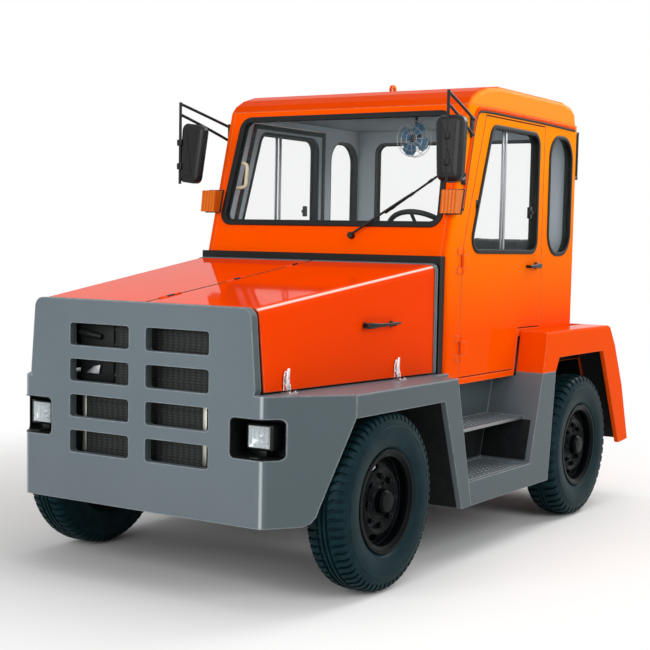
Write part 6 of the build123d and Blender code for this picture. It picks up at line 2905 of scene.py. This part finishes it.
@dataclass
class Studio:
    """Pale floor, soft lights and the camera at the photograph's place."""

    eye: tuple[float, float, float] = (5.9706, 3.6781, 1.4713)
    look: tuple[float, float, float] = (-0.84372, -0.52986, -0.08586)
    roll: float = 0.0209
    lens_mm: float = 74.6
    shift: tuple[float, float] = (-0.0354, 0.0502)

    def build(self) -> None:
        """Set up the floor, the lights, the world and the camera."""
        self.floor()
        self.lights()
        self.world()
        self.camera()

    def floor(self) -> None:
        """Wide pale floor that keeps the tractor's shadow."""
        clear_bench()
        bpy.ops.mesh.primitive_plane_add(size=60.0, location=(0.0, 0.0, -0.001))
        floor = named("studio_floor")
        matt = bpy.data.materials.new("studio_floor_paper")
        matt.use_nodes = True
        tree = matt.node_tree
        shader = tree.nodes["Principled BSDF"]
        shader.inputs["Base Color"].default_value = linear("#F6F6F5")
        shader.inputs["Roughness"].default_value = 0.9
        shader.inputs["Specular IOR Level"].default_value = 0.0
        at = add_node(tree, "ShaderNodeTexCoord").outputs["Object"]
        out = add_node(tree, "ShaderNodeVectorMath", links={0: at}, operation="LENGTH")
        far = add_node(
            tree,
            "ShaderNodeMapRange",
            {"From Min": 1.9, "From Max": 4.2},
            {"Value": out.outputs["Value"]},
            interpolation_type="SMOOTHSTEP",
        )
        ray = add_node(tree, "ShaderNodeLightPath")
        seen = add_node(
            tree,
            "ShaderNodeMath",
            links={0: ray.outputs["Is Camera Ray"], 1: ray.outputs["Is Transmission Ray"]},
            operation="MAXIMUM",
        )
        shown = add_node(
            tree,
            "ShaderNodeMath",
            links={0: seen.outputs["Value"], 1: ray.outputs["Is Glossy Ray"]},
            operation="MAXIMUM",
        )
        fade = add_node(
            tree,
            "ShaderNodeMath",
            links={0: far.outputs["Result"], 1: shown.outputs["Value"]},
            operation="MULTIPLY",
        )
        glow = add_node(tree, "ShaderNodeEmission", {"Color": (1.0, 1.0, 1.0, 1.0), "Strength": 1.0})
        both = add_node(
            tree,
            "ShaderNodeMixShader",
            links={0: fade.outputs["Value"], 1: shader.outputs["BSDF"], 2: glow.outputs["Emission"]},
        )
        tree.links.new(both.outputs["Shader"], tree.nodes["Material Output"].inputs["Surface"])
        floor.data.materials.append(matt)

    def lights(self) -> None:
        """Large soft lamps: key from the driver's side, fill from the front, top light."""
        table = [
            ("key", (2.0, 6.6, 4.0), 4.0, 190.0),
            ("fill", (7.2, -0.4, 3.0), 4.0, 215.0),
            ("top", (0.0, 0.5, 6.0), 5.0, 110.0),
            ("back", (-5.0, 2.2, 4.6), 3.0, 170.0),
        ]
        aim = Vector((0.1, 0.0, 0.9))
        for name, spot, size, watts in table:
            lamp = bpy.data.lights.new(f"studio_{name}", "AREA")
            lamp.size = size
            lamp.energy = watts
            holder = bpy.data.objects.new(f"studio_{name}", lamp)
            holder.location = spot
            holder.rotation_euler = (aim - Vector(spot)).to_track_quat("-Z", "Y").to_euler()
            bpy.context.scene.collection.objects.link(holder)

    def world(self) -> None:
        """White to the camera, gloss and glass, and a plain level of light to the rest."""
        scene = bpy.context.scene
        world = bpy.data.worlds.new("studio_world")
        scene.world = world
        world.use_nodes = True
        tree = world.node_tree
        tree.nodes.clear()
        ray = add_node(tree, "ShaderNodeLightPath")
        seen = add_node(
            tree,
            "ShaderNodeMath",
            links={0: ray.outputs["Is Camera Ray"], 1: ray.outputs["Is Transmission Ray"]},
            operation="MAXIMUM",
        )
        glossy = add_node(
            tree,
            "ShaderNodeMath",
            links={0: seen.outputs["Value"], 1: ray.outputs["Is Glossy Ray"]},
            operation="MAXIMUM",
        )
        level = add_node(
            tree,
            "ShaderNodeMapRange",
            {"To Min": 0.36, "To Max": 1.0},
            {"Value": glossy.outputs["Value"]},
        )
        sky = add_node(
            tree,
            "ShaderNodeBackground",
            {"Color": (1.0, 1.0, 1.0, 1.0)},
            {"Strength": level.outputs["Result"]},
        )
        add_node(tree, "ShaderNodeOutputWorld", links={"Surface": sky.outputs["Background"]})
        scene.view_settings.view_transform = "Standard"

    def camera(self) -> None:
        """Camera at the photograph's place."""
        data = bpy.data.cameras.new("photo_camera")
        data.sensor_width = 36.0
        data.lens = self.lens_mm
        data.shift_x, data.shift_y = self.shift
        holder = bpy.data.objects.new("photo_camera", data)
        turn = Vector(self.look).to_track_quat("-Z", "Y").to_matrix() @ Matrix.Rotation(self.roll, 3, "Z")
        holder.matrix_world = Matrix.Translation(self.eye) @ turn.to_4x4()
        bpy.context.scene.collection.objects.link(holder)
        bpy.context.scene.camera = holder


def main() -> None:
    """Build the studio and every sub-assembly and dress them."""
    logging.basicConfig(level=logging.INFO, format="%(name)s: %(message)s")
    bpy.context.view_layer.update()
    layout, finishes = Layout(), Finishes()
    Studio().build()
    for kind in (
        CadShell,
        Wheels,
        FrontEnd,
        BonnetTrim,
        CabGlazing,
        CabOutside,
        Steps,
        WheelHouses,
        RearEnd,
        CabInside,
    ):
        group = kind(layout, finishes)
        group.build()
        group.dress()
        LOG.info("%s done", kind.__name__)
    clear_bench()


if __name__ == "__main__":
    main()
